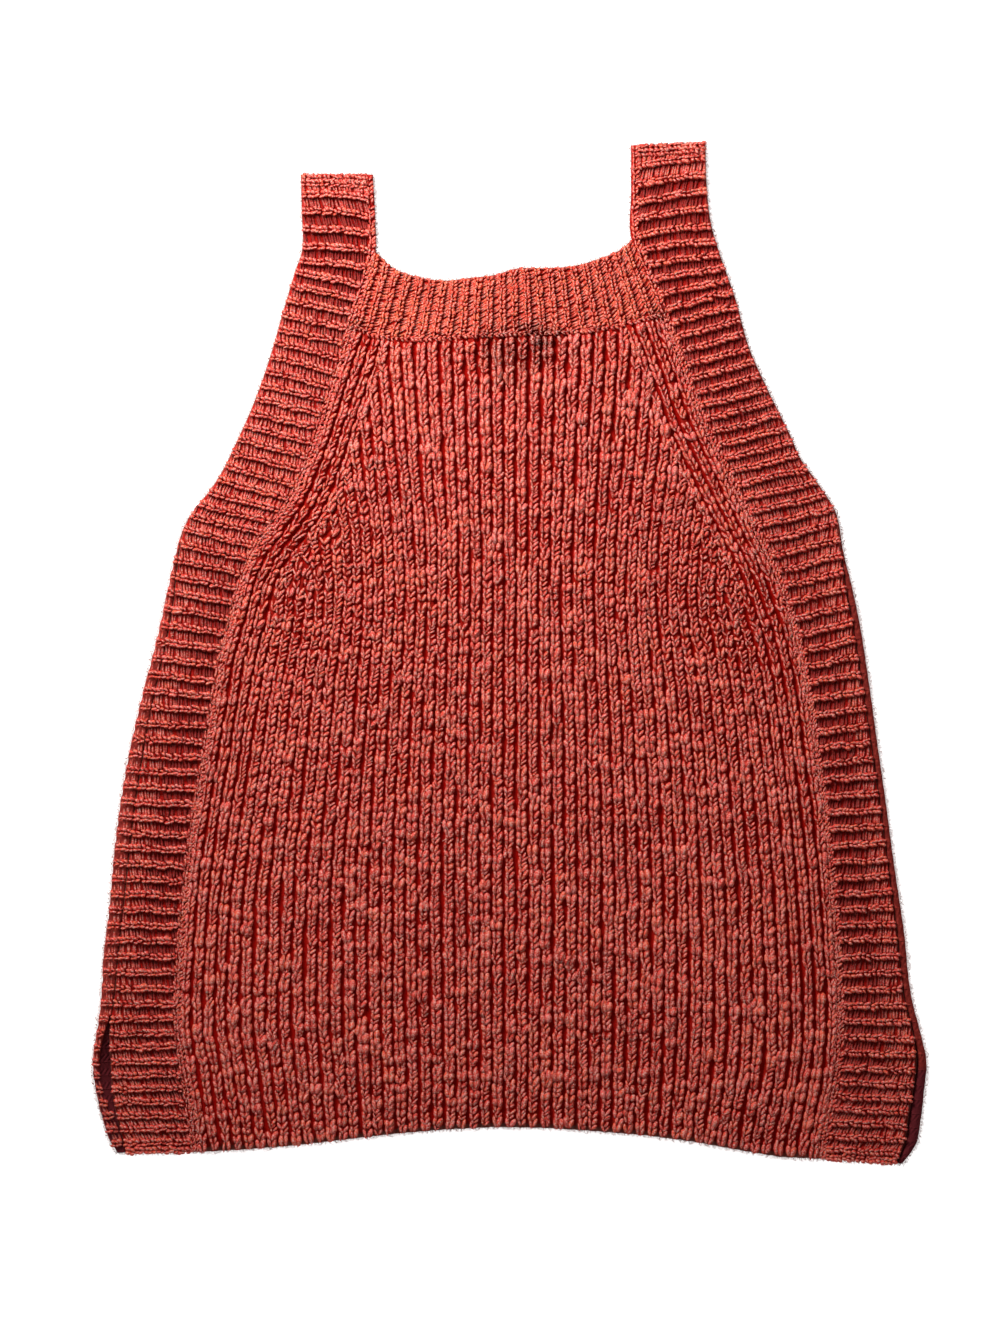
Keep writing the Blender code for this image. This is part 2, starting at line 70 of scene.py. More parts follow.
# %% The two side bands
Section = namedtuple("Section", "outer_x outer_y inner_x inner_y turned front_in")
LEFT_BAND = (
    Section(-125.0, 287.5, -82.0, 287.5, 0.0, 0.0),
    Section(-124.5, 264.5, -80.5, 260.0, 0.0, 0.0),
    Section(-124.0, 244.0, -80.5, 241.0, 0.0, 0.0),
    Section(-128.5, 229.5, -86.0, 219.5, 0.0, 0.0),
    Section(-135.5, 206.0, -93.5, 196.0, 0.0, 0.0),
    Section(-142.5, 181.5, -101.0, 172.0, 0.0, 0.0),
    Section(-151.5, 155.0, -109.5, 145.5, 0.0, 0.0),
    Section(-163.0, 128.5, -118.5, 117.5, 0.0, 0.0),
    Section(-176.0, 103.5, -130.0, 91.0, 0.0, 0.0),
    Section(-185.0, 91.5, -138.5, 79.5, 0.0, 0.0),
    Section(-193.5, 80.0, -147.5, 68.0, 0.0, 0.0),
    Section(-201.5, 55.0, -158.5, 46.0, 2.4, 2.4),
    Section(-206.5, 31.5, -164.5, 23.5, 4.8, 4.8),
    Section(-212.5, 5.5, -170.5, 1.0, 6.0, 6.0),
    Section(-221.5, -29.5, -176.5, -32.0, 7.2, 7.2),
    Section(-229.0, -63.5, -182.0, -65.5, 8.4, 8.4),
    Section(-236.5, -113.0, -190.0, -115.0, 9.0, 9.0),
    Section(-239.5, -146.5, -194.0, -148.0, 8.4, 8.4),
    Section(-243.5, -183.5, -196.5, -184.0, 8.4, 8.4),
    Section(-245.5, -212.0, -197.5, -212.0, 7.2, 7.2),
    Section(-248.0, -229.0, -197.0, -229.0, 4.8, 8.2),
    Section(-250.0, -243.5, -194.5, -243.5, 4.3, 11.0),
    Section(-247.0, -266.0, -191.0, -266.0, 5.5, 9.6),
    Section(-243.5, -279.5, -189.0, -280.0, 7.8, 8.8),
    Section(-239.5, -291.5, -187.5, -291.0, 7.2, 8.0),
    Section(-235.5, -298.5, -187.0, -298.0, 5.2, 6.0),
)
RIGHT_BAND = (
    Section(117.5, 306.5, 73.0, 305.0, 0.0, 0.0),
    Section(118.0, 283.5, 73.0, 277.5, 0.0, 0.0),
    Section(121.0, 257.0, 73.0, 250.5, 0.0, 0.0),
    Section(125.5, 241.5, 78.5, 234.5, 0.0, 0.0),
    Section(135.5, 212.5, 91.5, 202.5, 0.0, 0.0),
    Section(143.5, 184.0, 102.5, 173.5, 0.0, 0.0),
    Section(155.0, 158.0, 111.5, 146.5, 0.0, 0.0),
    Section(168.5, 130.5, 123.5, 119.5, 0.0, 0.0),
    Section(174.5, 117.0, 129.5, 106.5, 0.0, 0.0),
    Section(183.5, 104.5, 136.0, 93.5, 0.0, 0.0),
    Section(196.5, 82.5, 147.5, 70.5, 0.0, 0.0),
    Section(200.0, 62.5, 156.5, 52.5, 1.2, 1.2),
    Section(205.5, 40.0, 164.5, 31.5, 3.6, 3.6),
    Section(211.0, 13.0, 172.5, 4.5, 4.2, 4.2),
    Section(215.5, -16.5, 178.0, -23.5, 4.2, 4.2),
    Section(221.0, -56.0, 183.0, -60.5, 3.6, 3.6),
    Section(225.5, -87.5, 187.0, -89.5, 3.6, 3.6),
    Section(230.5, -125.0, 191.0, -127.0, 3.6, 3.6),
    Section(236.5, -165.5, 194.0, -166.0, 4.2, 4.2),
    Section(241.5, -207.5, 196.5, -208.5, 4.2, 4.2),
    Section(247.0, -229.0, 196.5, -227.5, 4.2, 4.8),
    Section(250.0, -243.5, 195.5, -242.0, 5.0, 6.2),
    Section(248.5, -262.5, 193.0, -259.5, 5.6, 6.8),
    Section(246.5, -279.5, 189.5, -276.5, 6.4, 7.7),
    Section(243.5, -294.0, 186.5, -290.5, 5.8, 7.0),
    Section(235.5, -305.0, 185.0, -302.0, 3.0, 3.9),
)

# %% The neckband and the panel's hem
NeckRib = namedtuple("NeckRib", "top_x top_y seam_x seam_y")
NECKBAND = (
    NeckRib(-79.5, 241.5, -92.5, 196.0),
    NeckRib(-70.5, 232.5, -82.0, 190.5),
    NeckRib(-53.5, 226.0, -62.0, 188.0),
    NeckRib(-38.5, 224.0, -44.0, 188.0),
    NeckRib(-24.5, 225.5, -27.5, 189.5),
    NeckRib(-8.5, 227.5, -9.5, 190.5),
    NeckRib(3.0, 231.0, 4.0, 191.0),
    NeckRib(21.5, 231.5, 25.5, 191.5),
    NeckRib(36.5, 232.5, 42.0, 192.5),
    NeckRib(51.5, 236.5, 61.0, 195.0),
    NeckRib(67.5, 244.0, 83.0, 200.5),
    NeckRib(72.5, 248.5, 91.0, 202.5),
)
HemPoint = namedtuple("HemPoint", "x y")
HEM = (
    HemPoint(-187.0, -298.0),
    HemPoint(-158.5, -296.5),
    HemPoint(-128.5, -294.0),
    HemPoint(-98.5, -290.5),
    HemPoint(-68.5, -287.0),
    HemPoint(-38.5, -284.5),
    HemPoint(-8.5, -283.0),
    HemPoint(21.5, -283.5),
    HemPoint(51.5, -285.5),
    HemPoint(81.5, -288.0),
    HemPoint(111.5, -292.0),
    HemPoint(141.5, -297.5),
    HemPoint(162.5, -301.0),
    HemPoint(185.0, -302.0),
)

print(len(LEFT_BAND) + len(RIGHT_BAND), "lines across the bands,", len(NECKBAND), "across the neckband")

# %% Read the tables on smooth curves
def reach_along(line):
    """How far along a line of points each of them is."""
    return np.concatenate([[0.0], np.cumsum(np.linalg.norm(np.diff(line, axis=0), axis=1))])


def middle_reach(rows):
    """How far along a band each row of its table is, down the middle of its lines."""
    table = np.array(rows, float)
    return reach_along((table[:, 0:2] + table[:, 2:4]) / 2)


def table_length(rows):
    return middle_reach(rows)[-1]


def smooth_rows(rows, shares):
    """A table's rows read at shares of its length, on a smooth curve through every row."""
    table = np.array(rows, float)
    along = middle_reach(rows)
    slopes = np.gradient(table, along, axis=0)
    place = np.clip(shares, 0, 1) * along[-1]
    before = np.clip(np.searchsorted(along, place, side="right") - 1, 0, len(along) - 2)
    span = along[before + 1] - along[before]
    t = ((place - along[before]) / span)[:, None]
    span = span[:, None]
    return (
        (2 * t**3 - 3 * t**2 + 1) * table[before]
        + (t**3 - 2 * t**2 + t) * span * slopes[before]
        + (3 * t**2 - 2 * t**3) * table[before + 1]
        + (t**3 - t**2) * span * slopes[before + 1]
    )


def read_column(rows, column, places):
    """One column of a short table, read at places along its first column."""
    return np.interp(places, [row[0] for row in rows], [getattr(row, column) for row in rows])


def directions(line):
    """Unit vectors along a line of points."""
    along = np.gradient(line, axis=0)
    return along / np.linalg.norm(along, axis=1)[:, None]


def sideways(line, distance):
    """A line moved to its own left by a distance, or by one distance for each of its points."""
    along = directions(line)
    return line + np.reshape(distance, (-1, 1)) * np.stack([-along[:, 1], along[:, 0]], axis=1)


def height_at(line, x):
    """How far up the garment a line that runs across it is, at places from side to side."""
    order = np.argsort(line[:, 0])
    return np.interp(x, line[order, 0], line[order, 1])


def at_heights(flat, z):
    """Points of the plan with their heights."""
    return np.concatenate([flat, np.broadcast_to(z, flat.shape[:-1])[..., None]], axis=-1)


print("left band", round(table_length(LEFT_BAND)), "mm, right band", round(table_length(RIGHT_BAND)), "mm")

# %% [markdown]
# ## How the ribs are spaced
#
# A knitter's gauge is never even on a worn vest. The straps are stretched, so their ribs stand further
# apart, and the panel's columns draw in below the armholes and spread again towards the hem. Short
# tables hold the spacing at a few places. The count of ribs is the spacing added up, so a rib's number
# gives its place.

# %% Spacing tables
Spacing = namedtuple("Spacing", "along pitch")
LEFT_RIBS = 66
LEFT_SPACING = (
    Spacing(0.0, 10.4),
    Spacing(35.0, 10.6),
    Spacing(60.0, 9.0),
    Spacing(180.0, 8.8),
    Spacing(240.0, 9.4),
    Spacing(300.0, 9.8),
    Spacing(400.0, 9.4),
    Spacing(520.0, 9.2),
    Spacing(560.0, 8.2),
)
RIGHT_RIBS = 67
RIGHT_SPACING = (
    Spacing(0.0, 7.6),
    Spacing(15.0, 10.4),
    Spacing(45.0, 10.6),
    Spacing(65.0, 8.8),
    Spacing(205.0, 8.8),
    Spacing(250.0, 9.8),
    Spacing(300.0, 10.3),
    Spacing(400.0, 10.0),
    Spacing(560.0, 9.6),
    Spacing(600.0, 8.3),
)
NECK_RIBS = 23
NECK_SPACING = (Spacing(0.0, 6.9),)
RIDGE_PHASE = 0.25  # where in a rib its ridge is highest
Columns = namedtuple("Columns", "y pitch closer")
COLUMNS = (
    Columns(-250.0, 7.15, 0.0),
    Columns(-140.0, 7.4, 0.01),
    Columns(-70.0, 7.25, 0.02),
    Columns(0.0, 6.95, 0.045),
    Columns(40.0, 6.9, 0.065),
    Columns(75.0, 7.0, 0.06),
    Columns(110.0, 7.25, 0.04),
    Columns(180.0, 7.75, 0.03),
)
FULL_REACH = 15  # columns from the middle one to where they have drawn in by that share
SeamColumns = namedtuple("SeamColumns", "y pitch")
SEAM_COLUMNS = (
    SeamColumns(-200.0, 7.0),
    SeamColumns(-60.0, 6.4),
    SeamColumns(60.0, 6.0),
)
EDGE_COLUMNS = 4  # how many columns follow each side seam

print("ribs:", LEFT_RIBS, "on the left band,", RIGHT_RIBS, "on the right,", NECK_RIBS, "on the neckband")


# %% Where a rib or a column is
def rib_share(number, ribs, spacing, length):
    """The share of a band's length at which the count of its ribs reaches a number."""
    along = np.linspace(0, length, 2000)
    pitch = read_column(spacing, "pitch", along)
    counted = np.concatenate([[0.0], np.cumsum(np.diff(along) / (pitch[1:] + pitch[:-1]))])
    return np.interp(number, counted * ribs / counted[-1], along / length)


def column_pitch(y):
    return read_column(COLUMNS, "pitch", y)


def column_x(number, y):
    """Where a column stands at a height on the garment, counted from the middle one."""
    closer = read_column(COLUMNS, "closer", y)
    return number * column_pitch(y) * (1 - closer * np.abs(number) / FULL_REACH)


def seam_pitch(y):
    """How far apart the columns along a side seam are, at heights on the garment."""
    return read_column(SEAM_COLUMNS, "pitch", y)


print("columns:", round(float(column_pitch(0.0)), 2), "mm apart at the garment's middle")


# %% [markdown]
# ## Uneven by hand, the same on every run
#
# Slub cotton is thick and thin, and no two stitches lie alike. Smooth noise over the garment makes
# whole stretches looser or tighter, and a seeded random draw makes single stitches differ.

# %% Smooth noise and soft patches
LATTICE = 97  # values along a side before the noise repeats


def ease(t):
    """From 0 to 1 with no corner at either end."""
    return t * t * (3 - 2 * t)


def drift(x, y, size, seed):
    """Smooth random values between -1 and 1 over places, which change over about size."""
    lattice = np.random.default_rng(seed).uniform(-1, 1, (LATTICE, LATTICE))
    u, v = np.broadcast_arrays(np.asarray(x) / size + LATTICE / 2, np.asarray(y) / size + LATTICE / 2)
    i, j = np.floor(u).astype(int), np.floor(v).astype(int)
    a, b = ease(u - i), ease(v - j)
    i, j = i % LATTICE, j % LATTICE
    after_i, after_j = (i + 1) % LATTICE, (j + 1) % LATTICE
    low = (1 - a) * lattice[i, j] + a * lattice[after_i, j]
    high = (1 - a) * lattice[i, after_j] + a * lattice[after_i, after_j]
    return (1 - b) * low + b * high


Patch = namedtuple("Patch", "x y half_width half_height strength")


def soft_patches(patches, x, y):
    """How strongly a place lies in any of some soft round patches."""
    total = 0.0
    for patch in patches:
        away = ((x - patch.x) / patch.half_width) ** 2 + ((y - patch.y) / patch.half_height) ** 2
        total = total + patch.strength * np.exp(-away)
    return total


print("noise at the middle:", round(float(drift(0.0, 0.0, 60.0, 5)), 2))

# %% [markdown]
# ## Yarn as a mesh
#
# A leg of a stitch is a short, thick, curved spindle. A curve object with a bevel could make one, but
# thousands of them are far quicker as one mesh, worked out for all of them at once with numpy: rings
# of points round each centre line and a tip at each end. The mesh keeps four numbers for the cotton's
# finish: the strand's own tint, how far up its round side a point is, which sets its painted shade and
# painted highlight, and where it is round and along the strand, which places the twisted plies. Strands
# that dive into a trough carry a fifth, which says how much painted shade they take there.

# %% Meshes from points
SHOWN = ((0.0, 0.25, 0.5, 0.75, 1.0), (0.95, 1.0, 1.0, 0.9, 0.4))  # how much shows along a length of yarn
# A point that doesn't show loses lift, so it takes more painted shade and less painted highlight.
BURIED = 0.35  # what a point that doesn't show loses of its lift


def piece_from(name, points, faces, material):
    """An object with a smooth mesh through points in millimetres."""
    placed = (np.asarray(points, float) - (0.0, MIDDLE_Y, 0.0)) * MM
    mesh = bpy.data.meshes.new(name)
    mesh.from_pydata(placed, [], faces)
    mesh.shade_smooth()
    mesh.materials.append(material)
    piece = bpy.data.objects.new(name, mesh)
    bpy.context.scene.collection.objects.link(piece)
    return piece


def keep_values(piece, name, values):
    attribute = piece.data.attributes.new(name, "FLOAT", "POINT")
    attribute.data.foreach_set("value", np.asarray(values, np.float32).ravel())


# %% Lengths of yarn as one mesh
def strand_sides(lines):
    """Unit vectors across and over lengths of yarn, at each of their points."""
    along = np.gradient(lines, axis=1)
    along /= np.linalg.norm(along, axis=2, keepdims=True)
    across = np.cross(along, (0.0, 0.0, 1.0))
    across /= np.linalg.norm(across, axis=2, keepdims=True)
    return across, np.cross(across, along)


def strand_faces(count, stations, sides):
    """The faces of many equal strands: rings of points from one tip to the other."""
    around = (stations - 2) * sides
    place = 1 + np.arange(around).reshape(stations - 2, sides)
    beside = np.roll(place, -1, axis=1)
    walls = np.stack([place[:-1], beside[:-1], beside[1:], place[1:]], axis=-1).reshape(-1, 4)
    first = np.stack([np.zeros(sides, int), beside[0], place[0]], axis=-1)
    last = np.stack([np.full(sides, around + 1), place[-1], beside[-1]], axis=-1)
    offsets = np.arange(count)[:, None, None] * (around + 2)
    faces = (walls + offsets).reshape(-1, 4).tolist()
    return faces + (np.concatenate([first, last]) + offsets).reshape(-1, 3).tolist()


def yarn_piece(name, lines, widths, heights, tints, material, sides=3, pockets=None, least_lift=-1.0):
    """Many short lengths of yarn as one mesh: centre lines in millimetres, half widths, half heights."""
    count, stations, _ = lines.shape
    across, over = strand_sides(lines)
    turns = np.arange(sides) / sides
    angles = (turns + 0.25) * 2 * math.pi
    turns = turns - (turns > 0.5)
    inner = slice(1, stations - 1)
    rings = (
        lines[:, inner, None, :]
        + across[:, inner, None, :] * (np.cos(angles) * widths[:, :, None])[..., None]
        + over[:, inner, None, :] * (np.sin(angles) * heights[:, :, None])[..., None]
    )
    around = (stations - 2) * sides

    def with_tips(first, ring_values, last):
        return np.concatenate([first, ring_values, last], axis=1)

    steps = np.linalg.norm(np.diff(lines, axis=1), axis=2)
    tip = np.zeros((count, 1))
    reach = np.concatenate([tip, np.cumsum(steps, axis=1)], axis=1)
    shown = np.interp(np.arange(1, stations - 1) / (stations - 1), *SHOWN)[:, None]
    lift = np.maximum(np.sin(angles) * shown - BURIED * (1 - shown), least_lift).ravel()
    turn = np.tile(turns, stations - 2)
    values = {
        "tint": np.repeat(tints[:, None], around + 2, axis=1),
        "lift": with_tips(tip, np.tile(lift, (count, 1)), tip - BURIED),
        "turn": with_tips(tip, np.tile(turn, (count, 1)), tip),
        "reach": with_tips(reach[:, :1], np.repeat(reach[:, inner], sides, axis=1), reach[:, -1:]),
    }
    if pockets is not None:
        ring_pockets = np.repeat(pockets[:, inner], sides, axis=1)
        values["painted_shade"] = with_tips(pockets[:, :1], ring_pockets, pockets[:, -1:])

    points = with_tips(lines[:, :1], rings.reshape(count, around, 3), lines[:, -1:])
    piece = piece_from(name, points.reshape(-1, 3), strand_faces(count, stations, sides), material)
    for value_name, value in values.items():
        keep_values(piece, value_name, value)
    print(f"{name}: {count} lengths of yarn, {2 * around * count} triangles")
    return piece


# %% [markdown]
# ## Dyed slub cotton
#
# The colour is a warm coral red, a little different from strand to strand, deeper where the dye took
# more, and nearly maroon low between the stitches: painted shade for where light only reaches after it
# has bounced off other red yarn. The tops of the strands carry a painted highlight. The surface is dull,
# with a soft bloom of fibre ends, which is what sheen is for. The bump is only the finest layer: the
# twist of the plies and the fibres on them.

# %% Node helpers
def add_node(tree, kind, sockets=None, **settings):
    """A shader node, its settings, and its inputs by number or name: a value or another's output."""
    node = tree.nodes.new(kind)
    for name, value in settings.items():
        setattr(node, name, value)
    for key, value in (sockets or {}).items():
        if isinstance(value, bpy.types.NodeSocket):
            tree.links.new(value, node.inputs[key])
        else:
            node.inputs[key].default_value = value
    return node


def maths(tree, operation, *inputs):
    return add_node(tree, "ShaderNodeMath", dict(enumerate(inputs)), operation=operation).outputs[0]


def vector_maths(tree, operation, output, *inputs):
    node = add_node(tree, "ShaderNodeVectorMath", dict(enumerate(inputs)), operation=operation)
    return node.outputs[output]


def between(tree, value, low, high, to_low, to_high):
    """A value eased from one range to another, held at both ends."""
    sockets = {"Value": value, 1: low, 2: high, 3: to_low, 4: to_high}
    return add_node(
        tree, "ShaderNodeMapRange", sockets, interpolation_type="SMOOTHSTEP", clamp=True
    ).outputs[0]


def blend_colours(tree, share, first, second, blend_type="MIX"):
    """Two colours mixed by a share, each a value or another's output."""
    node = add_node(tree, "ShaderNodeMix", {"Factor": share}, data_type="RGBA", blend_type=blend_type)
    for socket, value in zip([s for s in node.inputs if s.type == "RGBA"], (first, second)):
        if isinstance(value, bpy.types.NodeSocket):
            tree.links.new(value, socket)
        else:
            socket.default_value = value
    return [s for s in node.outputs if s.type == "RGBA"][0]


def stored(tree, name):
    """A value that the mesh keeps at its points."""
    return add_node(tree, "ShaderNodeAttribute", attribute_name=name).outputs["Fac"]


def noise(tree, places, scale, detail=2.0):
    sockets = {"Vector": places, "Scale": scale, "Detail": detail}
    return add_node(tree, "ShaderNodeTexNoise", sockets).outputs["Fac"]


def new_material(name):
    material = bpy.data.materials.new(name)
    material.use_nodes = True
    return material


def set_shader(material, values):
    """Constant values, set on the shader's own sockets."""
    shader = material.node_tree.nodes["Principled BSDF"]
    for socket, value in values.items():
        shader.inputs[socket].default_value = value
    return shader


# %% [markdown]
# ## The dyes
#
# A dye ramp turns a strand's tint into a colour. The panel and the bands share one, and the neckband's
# has more orange in it. Deeper colours are painted shade for the places between the strands, and a
# paler one is a painted highlight on the tops of the strands, scattered by noise.

# %% Dyes
Dye = namedtuple("Dye", "place colour")
CORAL = (
    Dye(0.0, (0.52, 0.046, 0.030, 1)),
    Dye(0.22, (0.70, 0.060, 0.044, 1)),
    Dye(0.5, (0.82, 0.092, 0.070, 1)),
    Dye(0.70, (0.87, 0.140, 0.064, 1)),
    Dye(0.85, (0.86, 0.096, 0.094, 1)),
    Dye(1.0, (0.92, 0.190, 0.155, 1)),
)
ORANGE_CORAL = (
    Dye(0.0, (0.64, 0.054, 0.030, 1)),
    Dye(0.25, (0.82, 0.084, 0.048, 1)),
    Dye(0.55, (0.91, 0.120, 0.068, 1)),
    Dye(0.8, (0.94, 0.165, 0.064, 1)),
    Dye(1.0, (0.96, 0.185, 0.130, 1)),
)
# Painted shade, for the lower side of a strand and the grooves between its plies.
PAINTED_LOW_SHADE = (0.62, 0.008, 0.004, 1)  # between the plies, and low on a strand
# Painted shade, for a strand deep in an open trough or just under a ridge.
PAINTED_TROUGH_SHADE = (0.27, 0.015, 0.014, 1)  # deep in an open trough
# Painted shade, for the wrong side of a turned edge, seen in a narrow gap.
PAINTED_INSIDE_SHADE = (0.14, 0.017, 0.023, 1)  # the smooth wrong side of the back bands, below the slits
PAINTED_HIGHLIGHT = (1.0, 0.50, 0.43, 1)  # painted highlight on top of a strand, where the light falls
RIM_CORAL = (0.28, 0.085, 0.065, 1)  # where the yarn turns round a free edge
PATCH_DARKENING = (0.55, 0.42, 0.38, 1)  # what a darker place leaves of the colour
PLIES = 7
PLY_LAY = 8.0  # millimetres for one turn of the twist
Grain = namedtuple("Grain", "dye ragged mottle knit heather speckle cloth yarn")
GRAIN = Grain(  # how many waves of noise there are in a metre
    dye=16.0, ragged=90.0, mottle=420.0, knit=500.0, heather=700.0, speckle=1200.0, cloth=1400.0, yarn=2600.0
)
DARK_PATCHES = (
    Patch(3.0, 184.0, 30.0, 20.0, 0.95),  # a darker, browner place under the neckband
    Patch(17.0, 191.5, 16.0, 7.0, 0.85),  # the same on the neckband's lower edge
    Patch(-92.0, 196.5, 7.0, 5.0, 0.9),  # and two small ones at the neckband's corners
    Patch(89.0, 203.0, 7.0, 5.0, 0.9),
)


def dye_ramp(tree, value, dyes):
    node = add_node(tree, "ShaderNodeValToRGB", {"Fac": value})
    stops = node.color_ramp.elements
    while len(stops) < len(dyes):
        stops.new(0.5)
    for stop, dye in zip(stops, dyes):
        stop.position = dye.place
        stop.color = dye.colour
    return node.outputs["Color"]


print(len(CORAL), "dyes in coral,", len(ORANGE_CORAL), "in orange coral,", len(DARK_PATCHES), "darker places")


# %% The finish that all the cotton shares
def finish_cotton(material, colour, height, strength, bloom):
    """A dull surface with a soft bloom, a colour, and a bump for its finest grain."""
    tree = material.node_tree
    shader = set_shader(material, {
        "Roughness": 0.85,
        "Specular IOR Level": 0.2 * bloom,
        "Sheen Weight": 0.05 * bloom,
        "Sheen Roughness": 0.5,
        "Sheen Tint": (1.0, 0.40, 0.30, 1),
    })
    bump = add_node(tree, "ShaderNodeBump", {"Height": height, "Strength": strength, "Distance": 0.25 * MM})
    tree.links.new(colour, shader.inputs["Base Color"])
    tree.links.new(bump.outputs["Normal"], shader.inputs["Normal"])
    material.diffuse_color = (0.65, 0.1, 0.06, 1)


def let_red_through(material, weight, reach):
    """Red light goes a little way through dyed cotton, so its shade is red and never black."""
    set_shader(material, {
        "Subsurface Weight": weight,
        "Subsurface Radius": (1.0, 0.12, 0.08),
        "Subsurface Scale": reach * MM,
    })


def start_cotton(name):
    """A new material, its nodes, and the places on the garment at which its noise is read."""
    material = new_material(name)
    tree = material.node_tree
    return material, tree, add_node(tree, "ShaderNodeTexCoord").outputs["Object"]


def darker_patches(tree, places, colour):
    """The darker places by the neckband, soft and uneven at their rims."""
    rough = between(tree, noise(tree, places, GRAIN.ragged), 0.2, 0.8, -0.5, 0.5)
    for shade in DARK_PATCHES:
        shift = (-shade.x * MM, -(shade.y - MIDDLE_Y) * MM, 0.0)
        sizes = (1 / (shade.half_width * MM), 1 / (shade.half_height * MM), 0.0)
        moved = vector_maths(tree, "ADD", 0, places, shift)
        away = vector_maths(tree, "LENGTH", "Value", vector_maths(tree, "MULTIPLY", 0, moved, sizes))
        share = between(tree, maths(tree, "ADD", away, rough), 0.35, 1.1, shade.strength, 0.0)
        colour = blend_colours(tree, share, colour, PATCH_DARKENING, "MULTIPLY")
    return colour


# %% [markdown]
# ## Three kinds of cotton
#
# Where the strands are real shapes, the finish only tints them, paints shade on their lower sides and
# grooves them between the plies, with painted shade in the grooves and a painted highlight on top. The
# cloth under them shows in the gaps alone, so two dark colours of painted shade and a grain are enough.
# The underside rests on the floor and has no strands, so its rows of Vs are drawn by the colour, with
# painted shade between the legs and in the troughs, and the bump, along ribs that are real.

# %% Yarn, ribbed cloth and flat cloth
def yarn_cotton(name, dyes):
    """Cotton for lengths of yarn: tinted strand by strand, plied, with painted shade on its lower side and
    in its ply grooves, and a painted highlight on top.
    """
    material, tree, places = start_cotton(name)
    broad = between(tree, noise(tree, places, GRAIN.dye), 0.3, 0.7, -0.12, 0.12)
    heather = between(tree, noise(tree, places, GRAIN.heather, 3.0), 0.3, 0.7, -0.16, 0.16)
    tint = maths(tree, "ADD", maths(tree, "ADD", stored(tree, "tint"), broad), heather)
    colour = dye_ramp(tree, tint, dyes)
    twist = maths(tree, "MULTIPLY", stored(tree, "turn"), PLIES)
    twist = maths(tree, "ADD", twist, maths(tree, "DIVIDE", stored(tree, "reach"), PLY_LAY / PLIES))
    ply = maths(tree, "SINE", maths(tree, "MULTIPLY", twist, 2 * math.pi))
    # Painted shade: darker towards the deep colour on a strand's lower side and in the grooves between its
    # plies.
    ply_groove_shade = between(tree, ply, -1.0, 0.4, 0.22, 0.0)
    low = between(tree, stored(tree, "lift"), -0.5, 0.15, 0.9, 0.0)
    depth = maths(tree, "MAXIMUM", low, ply_groove_shade)
    colour = darker_patches(tree, places, blend_colours(tree, depth, colour, PAINTED_LOW_SHADE))
    # Painted highlight: the tops of the strands are paled towards the bloom colour, scattered by noise.
    speckle = between(tree, noise(tree, places, GRAIN.speckle), 0.3, 0.7, -0.5, 0.5)
    highlight_share = maths(tree, "MULTIPLY_ADD", stored(tree, "lift"), 0.9, speckle)
    colour = blend_colours(tree, between(tree, highlight_share, 0.42, 1.15, 0.0, 0.75), colour, PAINTED_HIGHLIGHT)
    # Painted shade where a strand lies deep in a trough or just under a ridge.
    colour = blend_colours(tree, maths(tree, "MULTIPLY", stored(tree, "painted_shade"), 0.94), colour, PAINTED_TROUGH_SHADE)
    fibres = noise(tree, places, GRAIN.yarn)
    height = maths(tree, "ADD", maths(tree, "MULTIPLY", ply, 0.5), fibres)
    finish_cotton(material, colour, height, 0.6, 0.45)
    let_red_through(material, 0.3, 0.6)
    return material


def cloth_cotton(name, low, high):
    """Cotton for the cloth under the stitches, dark as painted shade, from its colour in the troughs to that
    on the ridges.
    """
    material, tree, places = start_cotton(name)
    mixed = between(tree, noise(tree, places, GRAIN.mottle, 3.0), 0.3, 0.7, -0.2, 0.2)
    depth = between(tree, maths(tree, "ADD", stored(tree, "painted_shade"), mixed), 0.25, 0.75, 0.0, 1.0)
    colour = darker_patches(tree, places, blend_colours(tree, depth, high, low))
    rim = between(tree, stored(tree, "painted_shade"), -1.0, -0.4, 1.0, 0.0)
    colour = blend_colours(tree, rim, colour, RIM_CORAL)
    finish_cotton(material, colour, noise(tree, places, GRAIN.cloth, 3.0), 0.8, 0.0)
    let_red_through(material, 0.5, 1.3)
    return material


def knitted_cotton(name, low, high):
    """Cotton for cloth whose stitches are only as deep as its grain: rows of Vs along its ribs, with painted
    shade in the grooves, between the legs, in the troughs and on the wrong side.
    """
    material, tree, places = start_cotton(name)
    inside_rib = maths(tree, "FRACT", stored(tree, "rib"))
    beside = maths(tree, "ABSOLUTE", maths(tree, "SUBTRACT", inside_rib, 0.5))
    slanted = maths(tree, "MULTIPLY_ADD", beside, 2.2, stored(tree, "stitch"))
    leg = maths(tree, "SINE", maths(tree, "MULTIPLY", slanted, 2 * math.pi))
    groove = between(tree, beside, 0.0, 0.07, 1.0, 0.0)
    leg_gap_shade = between(tree, leg, -1.0, 0.1, 0.8, 0.0)
    shade = maths(tree, "MAXIMUM", maths(tree, "MAXIMUM", groove, leg_gap_shade), stored(tree, "painted_shade"))
    speckled = between(tree, noise(tree, places, GRAIN.knit, 3.0), 0.3, 0.7, -0.25, 0.25)
    depth = between(tree, maths(tree, "ADD", shade, speckled), 0.1, 0.9, 0.0, 1.0)
    fibres = maths(tree, "MULTIPLY", noise(tree, places, GRAIN.cloth, 3.0), 0.5)
    height = maths(tree, "SUBTRACT", maths(tree, "MULTIPLY_ADD", leg, 0.5, fibres), groove)
    # Painted shade: where the wrong side shows, the colour goes over to its dark inside colour.
    rolled = between(tree, stored(tree, "painted_shade"), 1.0, 2.0, 0.0, 1.0)
    colour = blend_colours(tree, rolled, blend_colours(tree, depth, high, low), PAINTED_INSIDE_SHADE)
    finish_cotton(material, colour, height, 0.9, 0.3)
    return material


